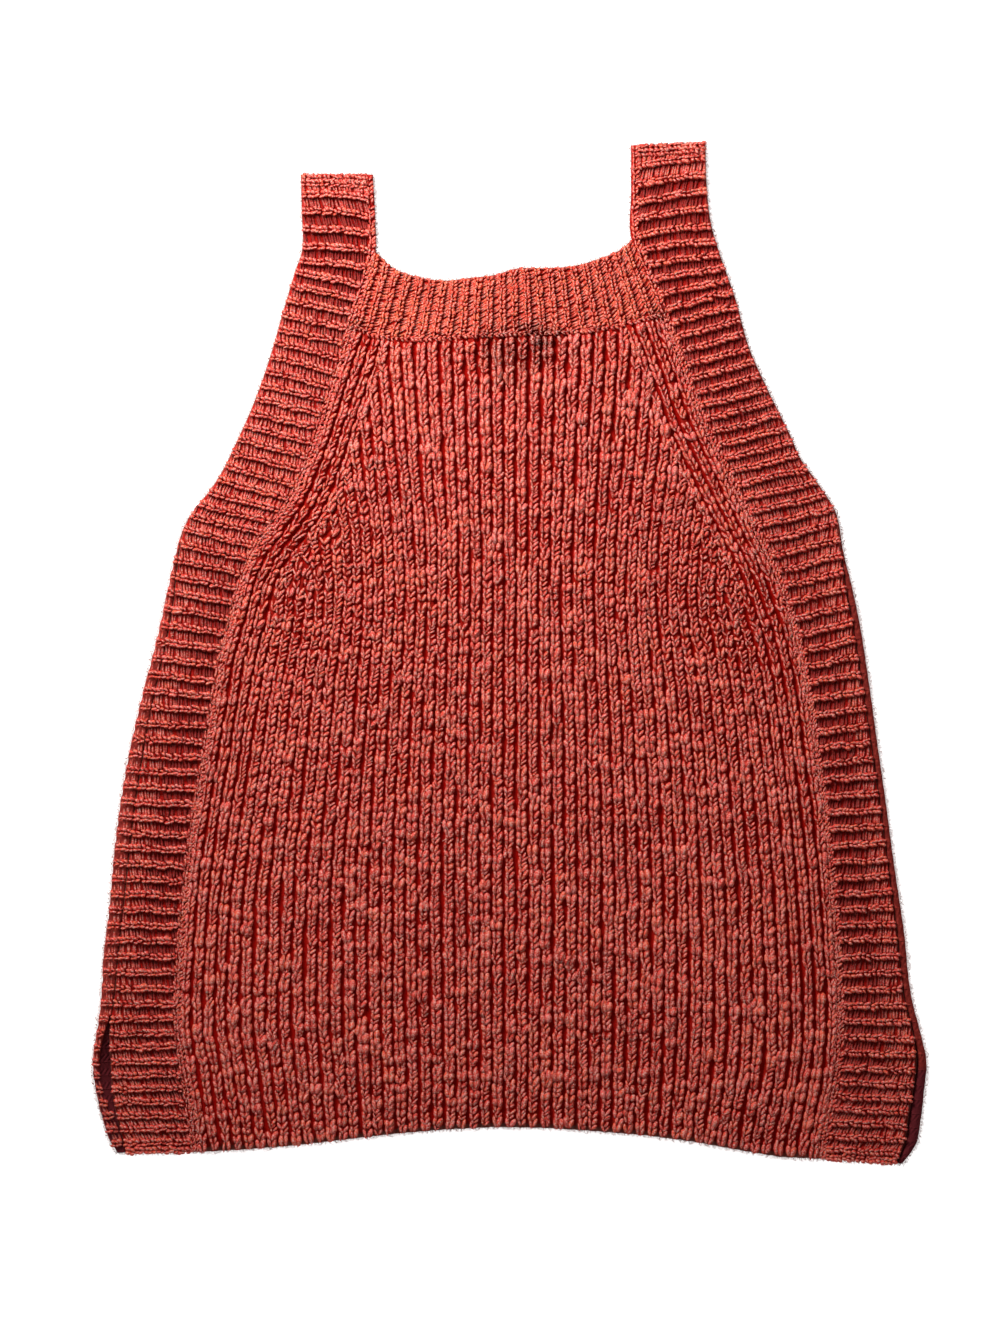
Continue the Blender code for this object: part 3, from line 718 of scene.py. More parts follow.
coral_yarn = yarn_cotton("coral_yarn", CORAL)
neck_yarn = yarn_cotton("orange_coral_yarn", ORANGE_CORAL)
# Painted shade: the cloth under the stitches is dark, because it shows only in the gaps where shade falls.
panel_shade_cloth = cloth_cotton("panel_shade_cloth", (0.38, 0.006, 0.004, 1), (0.34, 0.012, 0.008, 1))
band_shade_cloth = cloth_cotton("band_shade_cloth", (0.36, 0.012, 0.009, 1), (0.44, 0.018, 0.014, 1))


def plain_fibre(name, colour):
    """A dull single colour, for what is too thin to show any grain."""
    material = new_material(name)
    set_shader(material, {"Base Color": colour, "Roughness": 0.85})
    return material


pale_thread = plain_fibre("pale_thread", (0.86, 0.42, 0.36, 1))
# The outline fibres are real, and their dark brown is painted shade along the outline.
brown_fibre = plain_fibre("brown_fibre", (0.30, 0.15, 0.12, 1))
back_cloth = knitted_cotton("back_cloth", (0.24, 0.024, 0.019, 1), (0.78, 0.100, 0.070, 1))
print("materials:", coral_yarn.name, neck_yarn.name, panel_shade_cloth.name, band_shade_cloth.name, back_cloth.name)

# %% [markdown]
# ## Camera, floor and light
#
# The vest is looked at from straight above. One large soft light stands beyond the straps on the
# left, so the light falls off towards the hem, the ribs throw their shade down and to the right, and
# a weak second light and the pale surroundings open up the shadows.

# %% Camera straight above
VIEW_MIDDLE = (-5.7, -7.1)
VIEW_HEIGHT = 798.0  # how much of the floor the view takes in, from bottom to top
CAMERA_UP = 2600.0

camera = bpy.data.objects.new("camera", bpy.data.cameras.new("camera"))
bpy.context.scene.collection.objects.link(camera)
bpy.context.scene.camera = camera
camera.location = (VIEW_MIDDLE[0] * MM, VIEW_MIDDLE[1] * MM, CAMERA_UP * MM)
camera.data.sensor_fit = "VERTICAL"
camera.data.angle = 2 * math.atan(VIEW_HEIGHT / 2 / CAMERA_UP)
print("view:", round(math.degrees(camera.data.angle), 1), "degrees from", CAMERA_UP, "mm up")

# %% Floor and lights
FLOOR_SIZE = 4000.0
FLOOR_DROP = 0.05  # the floor lies a little lower than the cloth that rests on it

floor_paint = new_material("pale_floor")
set_shader(floor_paint, {
    "Base Color": (0.75, 0.75, 0.74, 1),
    "Roughness": 0.9,
    "Emission Color": (1.0, 1.0, 1.0, 1),
    "Emission Strength": 1.0,
})
half_floor = FLOOR_SIZE / 2
floor_signs = ((-1, -1), (1, -1), (1, 1), (-1, 1))
floor_corners = [(x * half_floor, y * half_floor, -FLOOR_DROP) for x, y in floor_signs]
floor = piece_from("floor", floor_corners, [(0, 1, 2, 3)], floor_paint)


def soft_light(name, place, aim, size, power, colour):
    """A square soft light at a place, turned to what it is aimed at."""
    data = bpy.data.lights.new(name, "AREA")
    data.shape = "SQUARE"
    data.size = size * MM
    data.energy = power
    data.color = colour
    light = bpy.data.objects.new(name, data)
    bpy.context.scene.collection.objects.link(light)
    light.location = Vector(place) * MM
    light.rotation_euler = (Vector(aim) - Vector(place)).to_track_quat("-Z", "Y").to_euler()
    print(f"{name} light: {size} mm square, {power} W")


soft_light("key", (-430.0, 790.0, 610.0), (0.0, 500.0, 0.0), 460.0, 16.4, (1.0, 0.97, 0.94))
soft_light("fill", (200.0, 200.0, 2000.0), (0.0, 200.0, 0.0), 1500.0, 2.8, (1.0, 0.98, 0.97))
world = bpy.data.worlds.new("pale_room")
world.use_nodes = True
room = world.node_tree.nodes["Background"]
room.inputs["Color"].default_value = (1.0, 1.0, 1.0, 1)
room.inputs["Strength"].default_value = 0.113
bpy.context.scene.world = world
bpy.context.scene.view_settings.view_transform = "Standard"

# %% [markdown]
# ## The front panel's outline
#
# The panel lies between the two bands, below the neckband. Its side edges are the bands' inner edges,
# half a seam gap inside. The cloth under the stitches is one grid stretched between its four edges,
# with the columns raised in it: where the straight columns meet the seam columns, each simply ends.

# %% Panel edges
SEAM_STEPS = 700
NECK_OUT = 0.8  # how far the neckband's ends pass its seams with the side bands


def band_seam(rows, side):
    """The panel's side edge along a band, from its top corner down."""
    seam = smooth_rows(rows, np.linspace(0, 1, SEAM_STEPS))[:, 2:4]
    return sideways(seam, -side * SEW_IN)


def neck_sections(shares):
    """The neckband's lines, from its free edge to its seam with the panel."""
    sections = smooth_rows(NECKBAND, shares)
    outward = -NECK_OUT * (1 - 2 * shares)
    sections[:, 0:3:2] += outward[:, None]
    return sections


left_edge, right_edge = band_seam(LEFT_BAND, 1), band_seam(RIGHT_BAND, -1)
neck_line = neck_sections(np.linspace(0, 1, 41))[:, 2:4] + (0.0, SEW_IN)
hem_line = np.array(HEM)
left_edge = left_edge[left_edge[:, 1] < height_at(neck_line, left_edge[:, 0])]
right_edge = right_edge[right_edge[:, 1] < height_at(neck_line, right_edge[:, 0])]
print("panel: top", round(right_edge[0, 0] - left_edge[0, 0]), "mm, hem", round(HEM[-1].x - HEM[0].x), "mm")

# %% [markdown]
# ## How the cloth lies
#
# Laid flat, the vest is still not a board: it puckers where rows were picked up, and the sides ride
# over the turned edges. A short table of soft ridges and troughs lifts or sinks cloth and stitches
# together.

# %% Soft rises and dips
Fold = namedtuple("Fold", "x y length width turn height")
FOLDS = (
    Fold(-120.0, 70.0, 90.0, 26.0, 60.0, 0.9),
    Fold(-150.0, 20.0, 110.0, 12.0, 98.0, -1.0),
    Fold(-192.0, -30.0, 160.0, 16.0, 104.0, 1.0),
    Fold(128.0, 40.0, 80.0, 24.0, 118.0, 0.8),
    Fold(60.0, 130.0, 120.0, 20.0, 80.0, -0.5),
    Fold(-40.0, -120.0, 260.0, 45.0, 85.0, 0.5),
    Fold(70.0, -160.0, 220.0, 40.0, 95.0, -0.4),
    Fold(-120.0, -250.0, 120.0, 18.0, 84.0, 0.7),
    Fold(20.0, -262.0, 90.0, 16.0, 95.0, 0.6),
    Fold(130.0, -255.0, 110.0, 20.0, 88.0, 0.7),
)


def lie(x, y):
    """How far the front is lifted at a place, in millimetres."""
    total = 0.12 * drift(x, y, 60.0, 5)
    for fold in FOLDS:
        turn = math.radians(fold.turn)
        along = (x - fold.x) * math.cos(turn) + (y - fold.y) * math.sin(turn)
        across = (y - fold.y) * math.cos(turn) - (x - fold.x) * math.sin(turn)
        away = (2 * along / fold.length) ** 2 + (across / fold.width) ** 2
        total = total + fold.height * np.exp(-away)
    return total


fold_heights = [fold.height for fold in FOLDS]
print("folds:", len(FOLDS), "from", min(fold_heights), "to", max(fold_heights), "mm")

# %% [markdown]
# ## A cloth between four edges
#
# The panel's cloth could be cut from a flat square grid, but its edges would come out as steps. A grid
# that is stretched between the four edges meets all of them exactly, and it is fine enough across to
# carry every column. A narrow wall and a plain face close it, because cloth has a thickness.

# %% Cloth stretched between four edges
RIM_TOP = FRONT_FLOOR + 1.2
ROW_HEIGHT = 3.8  # one stitch of the panel
RIM_PAINT = -1.5  # marks a free edge, where the yarn turns round and shows its coral


def spaced(line, count):
    """A line's points at even steps of its length."""
    reach = reach_along(line)
    even = np.linspace(0, reach[-1], count)
    return np.stack([np.interp(even, reach, line[:, axis]) for axis in range(line.shape[1])], axis=1)


def patch_grid(top, bottom, left, right):
    """A grid of points stretched between four edges that share their corners."""
    u = np.linspace(0, 1, len(top))[None, :, None]
    v = np.linspace(0, 1, len(left))[:, None, None]
    corners = (
        (1 - u) * (1 - v) * top[0] + u * (1 - v) * top[-1] + (1 - u) * v * bottom[0] + u * v * bottom[-1]
    )
    return (1 - v) * top[None] + v * bottom[None] + (1 - u) * left[:, None] + u * right[:, None] - corners


def nearest(line, x, y):
    """The distance from places to a line of points."""
    flat = np.stack([np.ravel(x), np.ravel(y)], axis=1)
    chunks = np.array_split(flat, 40)
    gaps = [np.linalg.norm(chunk[:, None] - line[None, ::3], axis=2).min(1) for chunk in chunks]
    return np.concatenate(gaps).reshape(np.shape(x))


def panel_cloth(name, top_line, bottom_line, steps, form, plain_z, material):
    """A closed cloth: a formed grid on one side, a plain face on the other, a narrow wall round it."""
    left, right = spaced(left_edge, steps[1]), spaced(right_edge, steps[1])
    top, bottom = spaced(top_line, steps[0]), spaced(bottom_line, steps[0])
    top[0], top[-1], bottom[0], bottom[-1] = left[0], right[0], left[-1], right[-1]
    grid = patch_grid(top, bottom, left, right)
    x, y = grid[..., 0], grid[..., 1]
    number_there = column_number(x, y)
    heights = form(x, y, rib_form(number_there))
    points = at_heights(grid, heights).reshape(-1, 3)
    index = np.arange(len(points)).reshape(x.shape)
    faces = np.stack([index[1:, :-1], index[1:, 1:], index[:-1, 1:], index[:-1, :-1]], axis=-1)
    rim = np.concatenate([index[0, :-1], index[:-1, -1], index[-1, :0:-1], index[:0:-1, 0]])
    other = len(points) + np.arange(len(rim))
    plain = points[rim].copy()
    plain[:, 2] = plain_z
    walls = np.stack([rim, np.roll(rim, -1), np.roll(other, -1), other], axis=-1)
    faces = faces.reshape(-1, 4).tolist() + walls.tolist() + [other.tolist()]
    if plain_z > heights.mean():
        faces = [face[::-1] for face in faces]
    piece = piece_from(name, np.concatenate([points, plain]), faces, material)
    rim_values = np.ones(len(rim))
    # Painted shade: between the columns the cloth takes its trough colour.
    pockets = 1 - rib_form(number_there)
    pockets[-1] = RIM_PAINT
    keep_values(piece, "painted_shade", np.concatenate([pockets.ravel(), rim_values]))
    keep_values(piece, "rib", np.concatenate([number_there.ravel(), rim_values]))
    keep_values(piece, "stitch", np.concatenate([y.ravel() / ROW_HEIGHT, rim_values]))
    print(f"{name}: {len(faces)} faces")
    return piece


# %% [markdown]
# ## Stitches
#
# A knit stitch shows as a V: two legs that lean apart from its point. The next stitch's point lies on
# the tops of the two, so each leg is high at its foot and dips under at its head. The right legs lean
# more and look fatter than the left ones, because the yarn's twist skews every loop the same way. The
# yarn is slubby: fat stitches are long leaf shapes, thin ones small, close and wide apart at the top,
# and here and there a thin ply winds clear of the leg.

# %% One V from two legs
Leg = namedtuple("Leg", "side lean away thick")
LEGS = (Leg(-1, 8.0, 1.34, 0.90), Leg(1, 22.0, 1.24, 1.08))
LEG_PLACES = np.array([-1.0, -0.62, 0.0, 0.62, 1.0])
LEG_RISE = np.array([0.0, 0.42, 0.42, 0.0, -0.85])
STRAND_SHAPE = np.array([0.74, 1.0, 0.74])
PLY_REACH = np.array([0.3, 0.85, 1.0, 0.85, 0.3])
LEG_BOW = 0.3  # how far a leg bows outwards, for its half width
PLY_TURN = 0.9  # radians that a ply turns round its leg from the middle to an end
PLY_HALF = 0.34
PLY_SHARE = 0.32  # how many of the legs have a ply that stands clear
THIN_LEANS = 2.6  # how much more a thin stitch's legs lean apart than a fat one's
Uneven = namedtuple("Uneven", "aside lean away slip thick long lift")
UNEVEN = Uneven(aside=0.24, lean=8.0, away=0.15, slip=0.09, thick=0.15, long=0.12, lift=0.16)
Tint = namedtuple("Tint", "usual drift by_stitch by_leg")
LEG_TINT = Tint(usual=0.47, drift=0.20, by_stitch=0.17, by_leg=0.09)
LOOSE_UNEVEN = 1.1  # how much more uneven a stitch is where they tumble
Gauge = namedtuple("Gauge", "stitch length spread lean uneven half_width half_height")


def v_legs(places, ups, sizes, gauge, loose, seed):
    """The legs of V stitches: their centre lines, how thick each is, and tints."""
    rng = np.random.default_rng(seed)
    count = len(places)
    rights = np.stack([ups[:, 1], -ups[:, 0]], axis=1)
    base = LEG_TINT.usual + LEG_TINT.drift * drift(places[:, 0], places[:, 1], 7.0, 41)
    base = base + LEG_TINT.by_stitch * rng.normal(size=count)
    uneven = gauge.uneven * (1 + LOOSE_UNEVEN * loose)

    def by_chance(amount):
        return amount * uneven * rng.normal(size=count)

    aside = by_chance(UNEVEN.aside * gauge.half_width)
    parts = []
    for leg in LEGS:
        steeper = np.clip(1 + THIN_LEANS * (1 - sizes), 0.4, 2.2)
        lean = np.radians(leg.lean * gauge.lean * steeper + by_chance(UNEVEN.lean))
        away = leg.side * leg.away * gauge.spread * sizes**0.5 * (1 + by_chance(UNEVEN.away))
        slip = by_chance(UNEVEN.slip * gauge.stitch)
        thick = leg.thick * sizes**1.2 * np.clip(1 + by_chance(UNEVEN.thick), 0.70, 1.45)
        long = np.clip(1 + by_chance(UNEVEN.long), 0.65, 1.35)
        half = gauge.length / 2 * sizes**0.8 * long
        aim = ups * np.cos(lean)[:, None] + rights * (leg.side * np.sin(lean))[:, None]
        centre = places[:, :2] + rights * (away + aside)[:, None] + ups * slip[:, None]
        bow = leg.side * LEG_BOW * gauge.half_width * (1 - LEG_PLACES**2)
        flat = centre[:, None] + aim[:, None] * (half[:, None] * LEG_PLACES)[..., None]
        flat = flat + rights[:, None] * bow[None, :, None]
        lift = by_chance(UNEVEN.lift) + 0.7 * (sizes - 1)
        z = places[:, 2:3] + lift[:, None] + 1.1 * gauge.half_height * LEG_RISE
        tints = np.clip(base + LEG_TINT.by_leg * rng.normal(size=count), 0, 1)
        parts.append((at_heights(flat, z), thick, tints))
    return [np.concatenate(group) for group in zip(*parts)]


def loose_plies(lines, thick, tints, gauge, seed):
    """On some of the legs, a thin ply that winds over the top and stands clear of it, tinted paler as a
    painted highlight.
    """
    rng = np.random.default_rng(seed)
    chosen = rng.random(len(lines)) < PLY_SHARE
    lines, thick, tints = lines[chosen], thick[chosen, None], tints[chosen]
    count = len(lines)
    across, over = strand_sides(lines)
    start = math.pi * rng.uniform(0.3, 0.8, (count, 1))
    turn = start + rng.choice((-1, 1), (count, 1)) * PLY_TURN * LEG_PLACES
    offset = across * (np.cos(turn) * thick * gauge.half_width * PLY_REACH)[..., None]
    offset = offset + over * (np.sin(turn) * thick * gauge.half_height * PLY_REACH)[..., None]
    widths = PLY_HALF * thick**0.5 * STRAND_SHAPE
    return lines + offset, widths, widths, np.clip(tints + 0.12 + 0.12 * rng.normal(size=count), 0, 1)


def single(lines, thick, tints, gauge):
    """One length of yarn for every leg."""
    widths = gauge.half_width * thick[:, None] * STRAND_SHAPE
    heights = gauge.half_height * thick[:, None] ** 0.8 * STRAND_SHAPE
    return [lines, widths, heights, tints]


# %% [markdown]
# ## Where the panel's columns run
#
# Below the armholes the number of columns never changes, so they spread and draw in with the panel.
# Four columns follow each side seam. Above the armholes the panel is shaped by decreases: one after
# another the straight columns end against those four, which pass over them.

# %% Lines along the columns
STRAIGHT = 22  # straight columns on each side of the middle one, below the armholes
SHAPED = (5.0, 45.0)  # the heights between which the first of them have ended


def seam_side(edge, side):
    """Where the columns along a seam begin, as heights and places."""
    stop = sideways(edge, side * EDGE_COLUMNS * seam_pitch(edge[:, 1]))[::-1]
    return stop[np.concatenate([[True], np.diff(np.maximum.accumulate(stop[:, 1])) > 0])]


left_stop, right_stop = seam_side(left_edge, 1), seam_side(right_edge, -1)


def stop_x(number, y):
    on_left = np.interp(y, left_stop[:, 1], left_stop[:, 0])
    on_right = np.interp(y, right_stop[:, 1], right_stop[:, 0])
    return np.where(np.asarray(number) < 0, on_left, on_right)


def straight_x(number, y):
    """Where a straight column stands, spread so that the outermost touches the seam columns."""
    outermost = STRAIGHT + 0.5
    spare = stop_x(number, y) - column_x(np.where(np.asarray(number) < 0, -outermost, outermost), y)
    fitted = ease(np.clip((SHAPED[1] - y) / (SHAPED[1] - SHAPED[0]), 0, 1))
    return column_x(number, y) + fitted * spare * (np.asarray(number) / outermost) ** 2


def straight_number(x, y):
    """The number of the column at a place, with its fraction."""
    number_there = x / column_pitch(y)
    for _ in range(5):
        number_there = number_there + (x - straight_x(number_there, y)) / column_pitch(y)
    return number_there


def straight_paths():
    levels = np.arange(hem_line[:, 1].min(), neck_line[:, 1].max(), 1.0)
    paths = []
    for column in range(-STRAIGHT, STRAIGHT + 1):
        x = straight_x(column, levels)
        inside = np.abs(x) < np.abs(stop_x(column, levels)) + 0.5 * column_pitch(levels)
        inside &= (levels > height_at(hem_line, x) + 0.6) & (levels < height_at(neck_line, x) - 1.2)
        kept = np.flatnonzero(inside)
        for run in np.split(kept, np.flatnonzero(np.diff(kept) > 1) + 1):
            if len(run) > 2:
                wander = 0.5 * drift(column * 50.0, levels[run], 26.0, 11)
                wander = wander + 0.42 * drift(column * 50.0, levels[run], 7.0, 12)
                paths.append(np.stack([x[run] + wander, levels[run]], axis=1))
    return paths


def seam_paths():
    paths = []
    for edge, side in ((left_edge, 1), (right_edge, -1)):
        for column in range(EDGE_COLUMNS):
            line = sideways(edge, side * (column + 0.5) * seam_pitch(edge[:, 1]))
            above, below = height_at(neck_line, line[:, 0]), height_at(hem_line, line[:, 0])
            line = line[(line[:, 1] < above - 1.0) & (line[:, 1] > below + 0.6)]
            wander = 0.3 * drift(column * 50.0 + side * 300.0, line[:, 1], 24.0, 13)
            paths.append(sideways(line, wander)[::-1])
    return paths


print(len(straight_paths()), "straight columns and", len(seam_paths()), "along the seams")

# %% [markdown]
# ## The panel's cloth and stitches
#
# Every column is a chain of Vs from the hem up. The slub makes some stitches fat knuckles and leaves
# others thin, along a whole stretch of a row, because one row is one run of yarn. In two places below
# the armholes the columns crowd together and the stitches tumble. Under the stitches lies a thin cloth
# with the columns raised in it, in a dark colour that is painted shade where it shows between them.

# %% The panel's cloth
CLOTH_TROUGH = 3.7
CLOTH_RIDGE = 5.6
RIDGE_HALF = (0.22, 0.40)  # in columns: where a ridge's top ends, and where its foot does


def column_number(x, y):
    """Which column a place is in, with its fraction: half way through one is its middle."""
    away = np.minimum(nearest(left_edge, x, y), nearest(right_edge, x, y))
    pitch = seam_pitch(y)
    return np.where(away < EDGE_COLUMNS * pitch, away / pitch, straight_number(x, y) + 0.5)


def rib_form(number_there):
    """How high a rib stands at a place in it: 1 on its ridge, 0 between two."""
    beside = np.abs(number_there % 1 - 0.5)
    return 1 - ease(np.clip((beside - RIDGE_HALF[0]) / (RIDGE_HALF[1] - RIDGE_HALF[0]), 0, 1))


def front_form(x, y, ridge):
    return CLOTH_TROUGH + (CLOTH_RIDGE - CLOTH_TROUGH) * ridge + lie(x, y)


front_panel_cloth = panel_cloth(
    "front_panel_cloth", neck_line, hem_line, (480, 66), front_form, FRONT_FLOOR, panel_shade_cloth
)

# %% Slub, and where the stitches tumble
PANEL_GAUGE = Gauge(3.7, 6.2, 0.88, 1.1, 0.9, 1.30, 0.95)
SEAM_GAUGE = Gauge(4.2, 7.0, 0.82, 0.6, 0.9, 1.2, 0.9)
PANEL_TOP = 5.85
SEAM_TOP = 5.95
TUMBLE = (
    Patch(-128.0, 66.0, 26.0, 40.0, 1.0),
    Patch(138.0, 22.0, 30.0, 30.0, 0.9),
    Patch(95.0, 150.0, 20.0, 24.0, 0.4),
)
USUAL_PITCH = 7.1


def slub(x, y):
    """How thick the yarn is at a place, from a thin stretch to a fat knuckle."""
    run = 0.30 * drift(x / 2, y, 4.6, 31) + 0.26 * drift(x * 1.5, y, 3.4, 34)
    knuckle = np.clip(drift(x * 1.2, y, 4.0, 38) - 0.5, 0, 1)
    return np.clip(0.98 + run + 0.6 * knuckle, 0.62, 1.36)


def chain_places(path, gauge, seed, sizes=1.0):
    """Places and directions for a chain of stitches along a path: thick yarn makes longer stitches."""
    rng = np.random.default_rng(seed)
    steps = np.linalg.norm(np.diff(path[:, :2], axis=0), axis=1)
    slack = np.broadcast_to(sizes, len(path))
    counted = np.concatenate([[0.0], np.cumsum(steps / gauge.stitch / (slack[1:] + slack[:-1]) * 2)])
    jumps = np.clip(1 + 0.15 * gauge.uneven * rng.normal(size=int(counted[-1]) + 1), 0.7, 1.4)
    stops = np.cumsum(jumps) - jumps[0] / 2
    stops = stops * counted[-1] / (stops[-1] + jumps[-1] / 2)
    along = directions(path[:, :2])
    places = np.stack([np.interp(stops, counted, column) for column in path.T], axis=1)
    ups = np.stack([np.interp(stops, counted, along[:, axis]) for axis in (0, 1)], axis=1)
    return places, ups / np.linalg.norm(ups, axis=1)[:, None]


# %% The panel's stitches
def panel_stitches():
    legs = []
    chains = [(path, PANEL_GAUGE, PANEL_TOP) for path in straight_paths()]
    chains += [(path, SEAM_GAUGE, SEAM_TOP) for path in seam_paths()]
    for chain, (path, gauge, top) in enumerate(chains):
        places, ups = chain_places(path, gauge, 1000 + chain, slub(path[:, 0], path[:, 1]))
        x, y = places[:, 0], places[:, 1]
        loose = soft_patches(TUMBLE, x, y)
        spread = 2 / (straight_number(x + 1, y) - straight_number(x - 1, y))
        pitch = seam_pitch(y) if gauge is SEAM_GAUGE else spread
        sizes = slub(x, y) * (pitch / USUAL_PITCH) * (1 - 0.08 * loose)
        raised = np.column_stack([places, top + lie(x, y)])
        legs.append(v_legs(raised, ups, sizes, gauge, loose, 2000 + chain))
    return [np.concatenate(group) for group in zip(*legs)]


PANEL_PARTS = 4  # pieces that share the panel's stitches, side by side

leg_lines, leg_thickness, leg_tints = panel_stitches()
leg_x = leg_lines[:, 2, 0]
limits = np.quantile(leg_x, np.linspace(0, 1, PANEL_PARTS + 1))
limits[-1] += 1.0
panel_pieces = []
for part, (start_x, end_x) in enumerate(zip(limits, limits[1:])):
    chosen = (leg_x >= start_x) & (leg_x < end_x)
    legs = single(leg_lines[chosen], leg_thickness[chosen], leg_tints[chosen], PANEL_GAUGE)
    panel_pieces.append(yarn_piece(f"front_panel_stitches_{part + 1}", *legs, coral_yarn, sides=5))
plies = loose_plies(leg_lines, leg_thickness, leg_tints, PANEL_GAUGE, 90)
panel_pieces.append(yarn_piece("front_panel_plies", *plies, coral_yarn))

# %% [markdown]
# ## The side bands
#
# A band is knitted sideways: its ribs run across it, finer and closer than the panel's. A ridge shows
# two rows of small legs. Between two ridges lies the wrong side of the stitches, a comb of thin
# slanting strands that starts deep under the ridge above and climbs on to the next, with painted
# shade where it starts. Where the band is stretched the troughs open into deep pockets, painted dark as
# shade, and where it is eased they nearly close.

# %% How open the troughs are
Open = namedtuple("Open", "share outer middle inner")
LEFT_OPEN = (
    Open(0.000, 0.00, 0.05, 0.05),
    Open(0.022, 0.00, 0.05, 0.05),
    Open(0.032, 1.00, 1.00, 0.95),
    Open(0.090, 0.95, 1.00, 0.95),
    Open(0.120, 0.55, 0.70, 0.75),
    Open(0.180, 0.20, 0.50, 0.55),
    Open(0.280, 0.15, 0.40, 0.35),
    Open(0.380, 0.15, 0.40, 0.35),
    Open(0.430, 0.15, 0.60, 0.80),
    Open(0.500, 0.20, 0.70, 0.95),
    Open(0.620, 0.20, 0.80, 1.00),
    Open(0.750, 0.20, 0.80, 0.85),
    Open(0.920, 0.20, 0.65, 0.60),
    Open(1.000, 0.20, 0.45, 0.40),
)
RIGHT_OPEN = (
    Open(0.000, 0.10, 0.15, 0.15),
    Open(0.020, 0.20, 0.30, 0.30),
    Open(0.035, 0.95, 1.00, 0.90),
    Open(0.140, 0.85, 0.95, 0.80),
    Open(0.250, 0.60, 0.80, 0.50),
    Open(0.360, 0.45, 0.60, 0.40),
    Open(0.460, 0.20, 0.60, 0.60),
    Open(0.550, 0.25, 0.80, 0.85),
    Open(0.700, 0.30, 0.80, 0.80),
    Open(0.900, 0.35, 0.70, 0.65),
    Open(1.000, 0.25, 0.50, 0.45),
)


def openness(table, share, across):
    """How open a trough is at a share of the band's length and width, from 0 to 1."""
    outer, middle, inner = [read_column(table, column, share) for column in ("outer", "middle", "inner")]
    first = outer + (middle - outer) * ease(np.clip(across * 2, 0, 1))
    return np.where(across < 0.5, first, middle + (inner - middle) * ease(np.clip(across * 2 - 1, 0, 1)))


# %% Places on a band
Band = namedtuple("Band", "name rows ribs spacing opened side")
BANDS = (
    Band("left", LEFT_BAND, LEFT_RIBS, LEFT_SPACING, LEFT_OPEN, -1),
    Band("right", RIGHT_BAND, RIGHT_RIBS, RIGHT_SPACING, RIGHT_OPEN, 1),
)
BOW = 1.1  # how far the ribs bend out of line, over a hand's breadth
SWAY = 0.45  # the same from stitch to stitch
STRAP_END = 0.15  # the share of the band's length that is strap
STRAP_ARCH = 1.3  # how far a strap's ribs arch up at their middle


def band_lines(band, shares):
    """A front band's free edge and sewn edge at shares of its length."""
    sections = smooth_rows(band.rows, shares)
    outer, inner = sections[:, 0:2], sideways_steady(band, sections[:, 2:4], shares)
    turned, front_in = np.clip(sections[:, 4], 0, None), np.clip(sections[:, 5], 0, None)
    clear = np.where(turned > 0.001, np.maximum(front_in, turned + GAP), 0.0)
    width = np.linalg.norm(inner - outer, axis=1)
    return outer + (inner - outer) * (clear / width)[:, None], inner


def sideways_steady(band, seam, shares):
    """The sewn edge moved a little into the panel, for stations in any order."""
    ahead = smooth_rows(band.rows, np.clip(shares + 0.002, 0, 1))[:, 2:4]
    behind = smooth_rows(band.rows, np.clip(shares - 0.002, 0, 1))[:, 2:4]
    along = (ahead - behind) / np.linalg.norm(ahead - behind, axis=1)[:, None]
    return seam - band.side * SEW_IN * np.stack([-along[:, 1], along[:, 0]], axis=1)


def band_share(band, numbers):
    return rib_share(numbers, band.ribs, band.spacing, table_length(band.rows))


def band_places(band, numbers, across):
    """Places on a front band, by rib number and by share of the way from its free to its sewn edge."""
    numbers, across = np.broadcast_arrays(numbers, across)
    shape = numbers.shape
    flat_across = across.ravel()
    free, inner = band_lines(band, band_share(band, numbers.ravel()))
    width = inner - free
    down = -band.side * np.stack([width[:, 1], -width[:, 0]], axis=1)
    down /= np.linalg.norm(down, axis=1)[:, None]
    flat = free + width * flat_across[:, None]
    bow = BOW * drift(flat[:, 0], flat[:, 1], 38.0, 400) + SWAY * drift(flat[:, 0], flat[:, 1], 8.0, 401)
    bow = bow * np.clip(6 * flat_across * (1 - flat_across) + 0.25, 0, 1)
    strap = 1 - ease(np.clip(band_share(band, numbers.ravel()) / STRAP_END, 0, 1))
    bow = bow - STRAP_ARCH * strap * (4 * flat_across * (1 - flat_across) - flat_across)
    inside_ends = np.clip(numbers.ravel(), 0, 1) * np.clip(band.ribs - numbers.ravel(), 0, 1)
    return (flat + down * (bow * inside_ends)[:, None]).reshape(*shape, 2)


# %% The profile from ridge to ridge
COMB_PLACES = np.array([0.0, 0.12, 0.32, 0.58, 0.82, 1.0])
COMB_DIP = np.array([0.25, 1.0, 1.0, 0.75, 0.25, 0.0])
# Painted shade along a comb's strand: just under the ridge above, and over the whole of an open trough.
RIDGE_SHADE = np.array([1.0, 1.0, 0.75, 0.15, 0.0, 0.0])
POCKET_SHADE = np.array([0.9, 1.0, 1.0, 1.0, 0.8, 0.2])
COMB_START, COMB_END = 0.12, 0.88  # in ribs from one ridge's middle to the next
COMB_LEVELS = (5.9, 6.4)  # at the ridge above and at the next
COMB_DEPTH = (0.25, 1.35)  # of a closed and of an open trough
CLOTH_UNDER = 0.7  # how far under its combs the cloth lies
BAND_TOP = 6.3


def comb_shade(opened):
    """How deep in shade a comb's strand lies at its places, for each trough's openness."""
    deep = ease(np.clip((opened - 0.3) / 0.5, 0, 1))
    uneven = np.random.default_rng(17).uniform(-0.25, 0.25, (len(opened), 1))
    toothed = np.clip(RIDGE_SHADE + uneven * (RIDGE_SHADE > 0) * (RIDGE_SHADE < 1), 0, 1)
    return np.maximum(toothed, deep[:, None] * POCKET_SHADE)


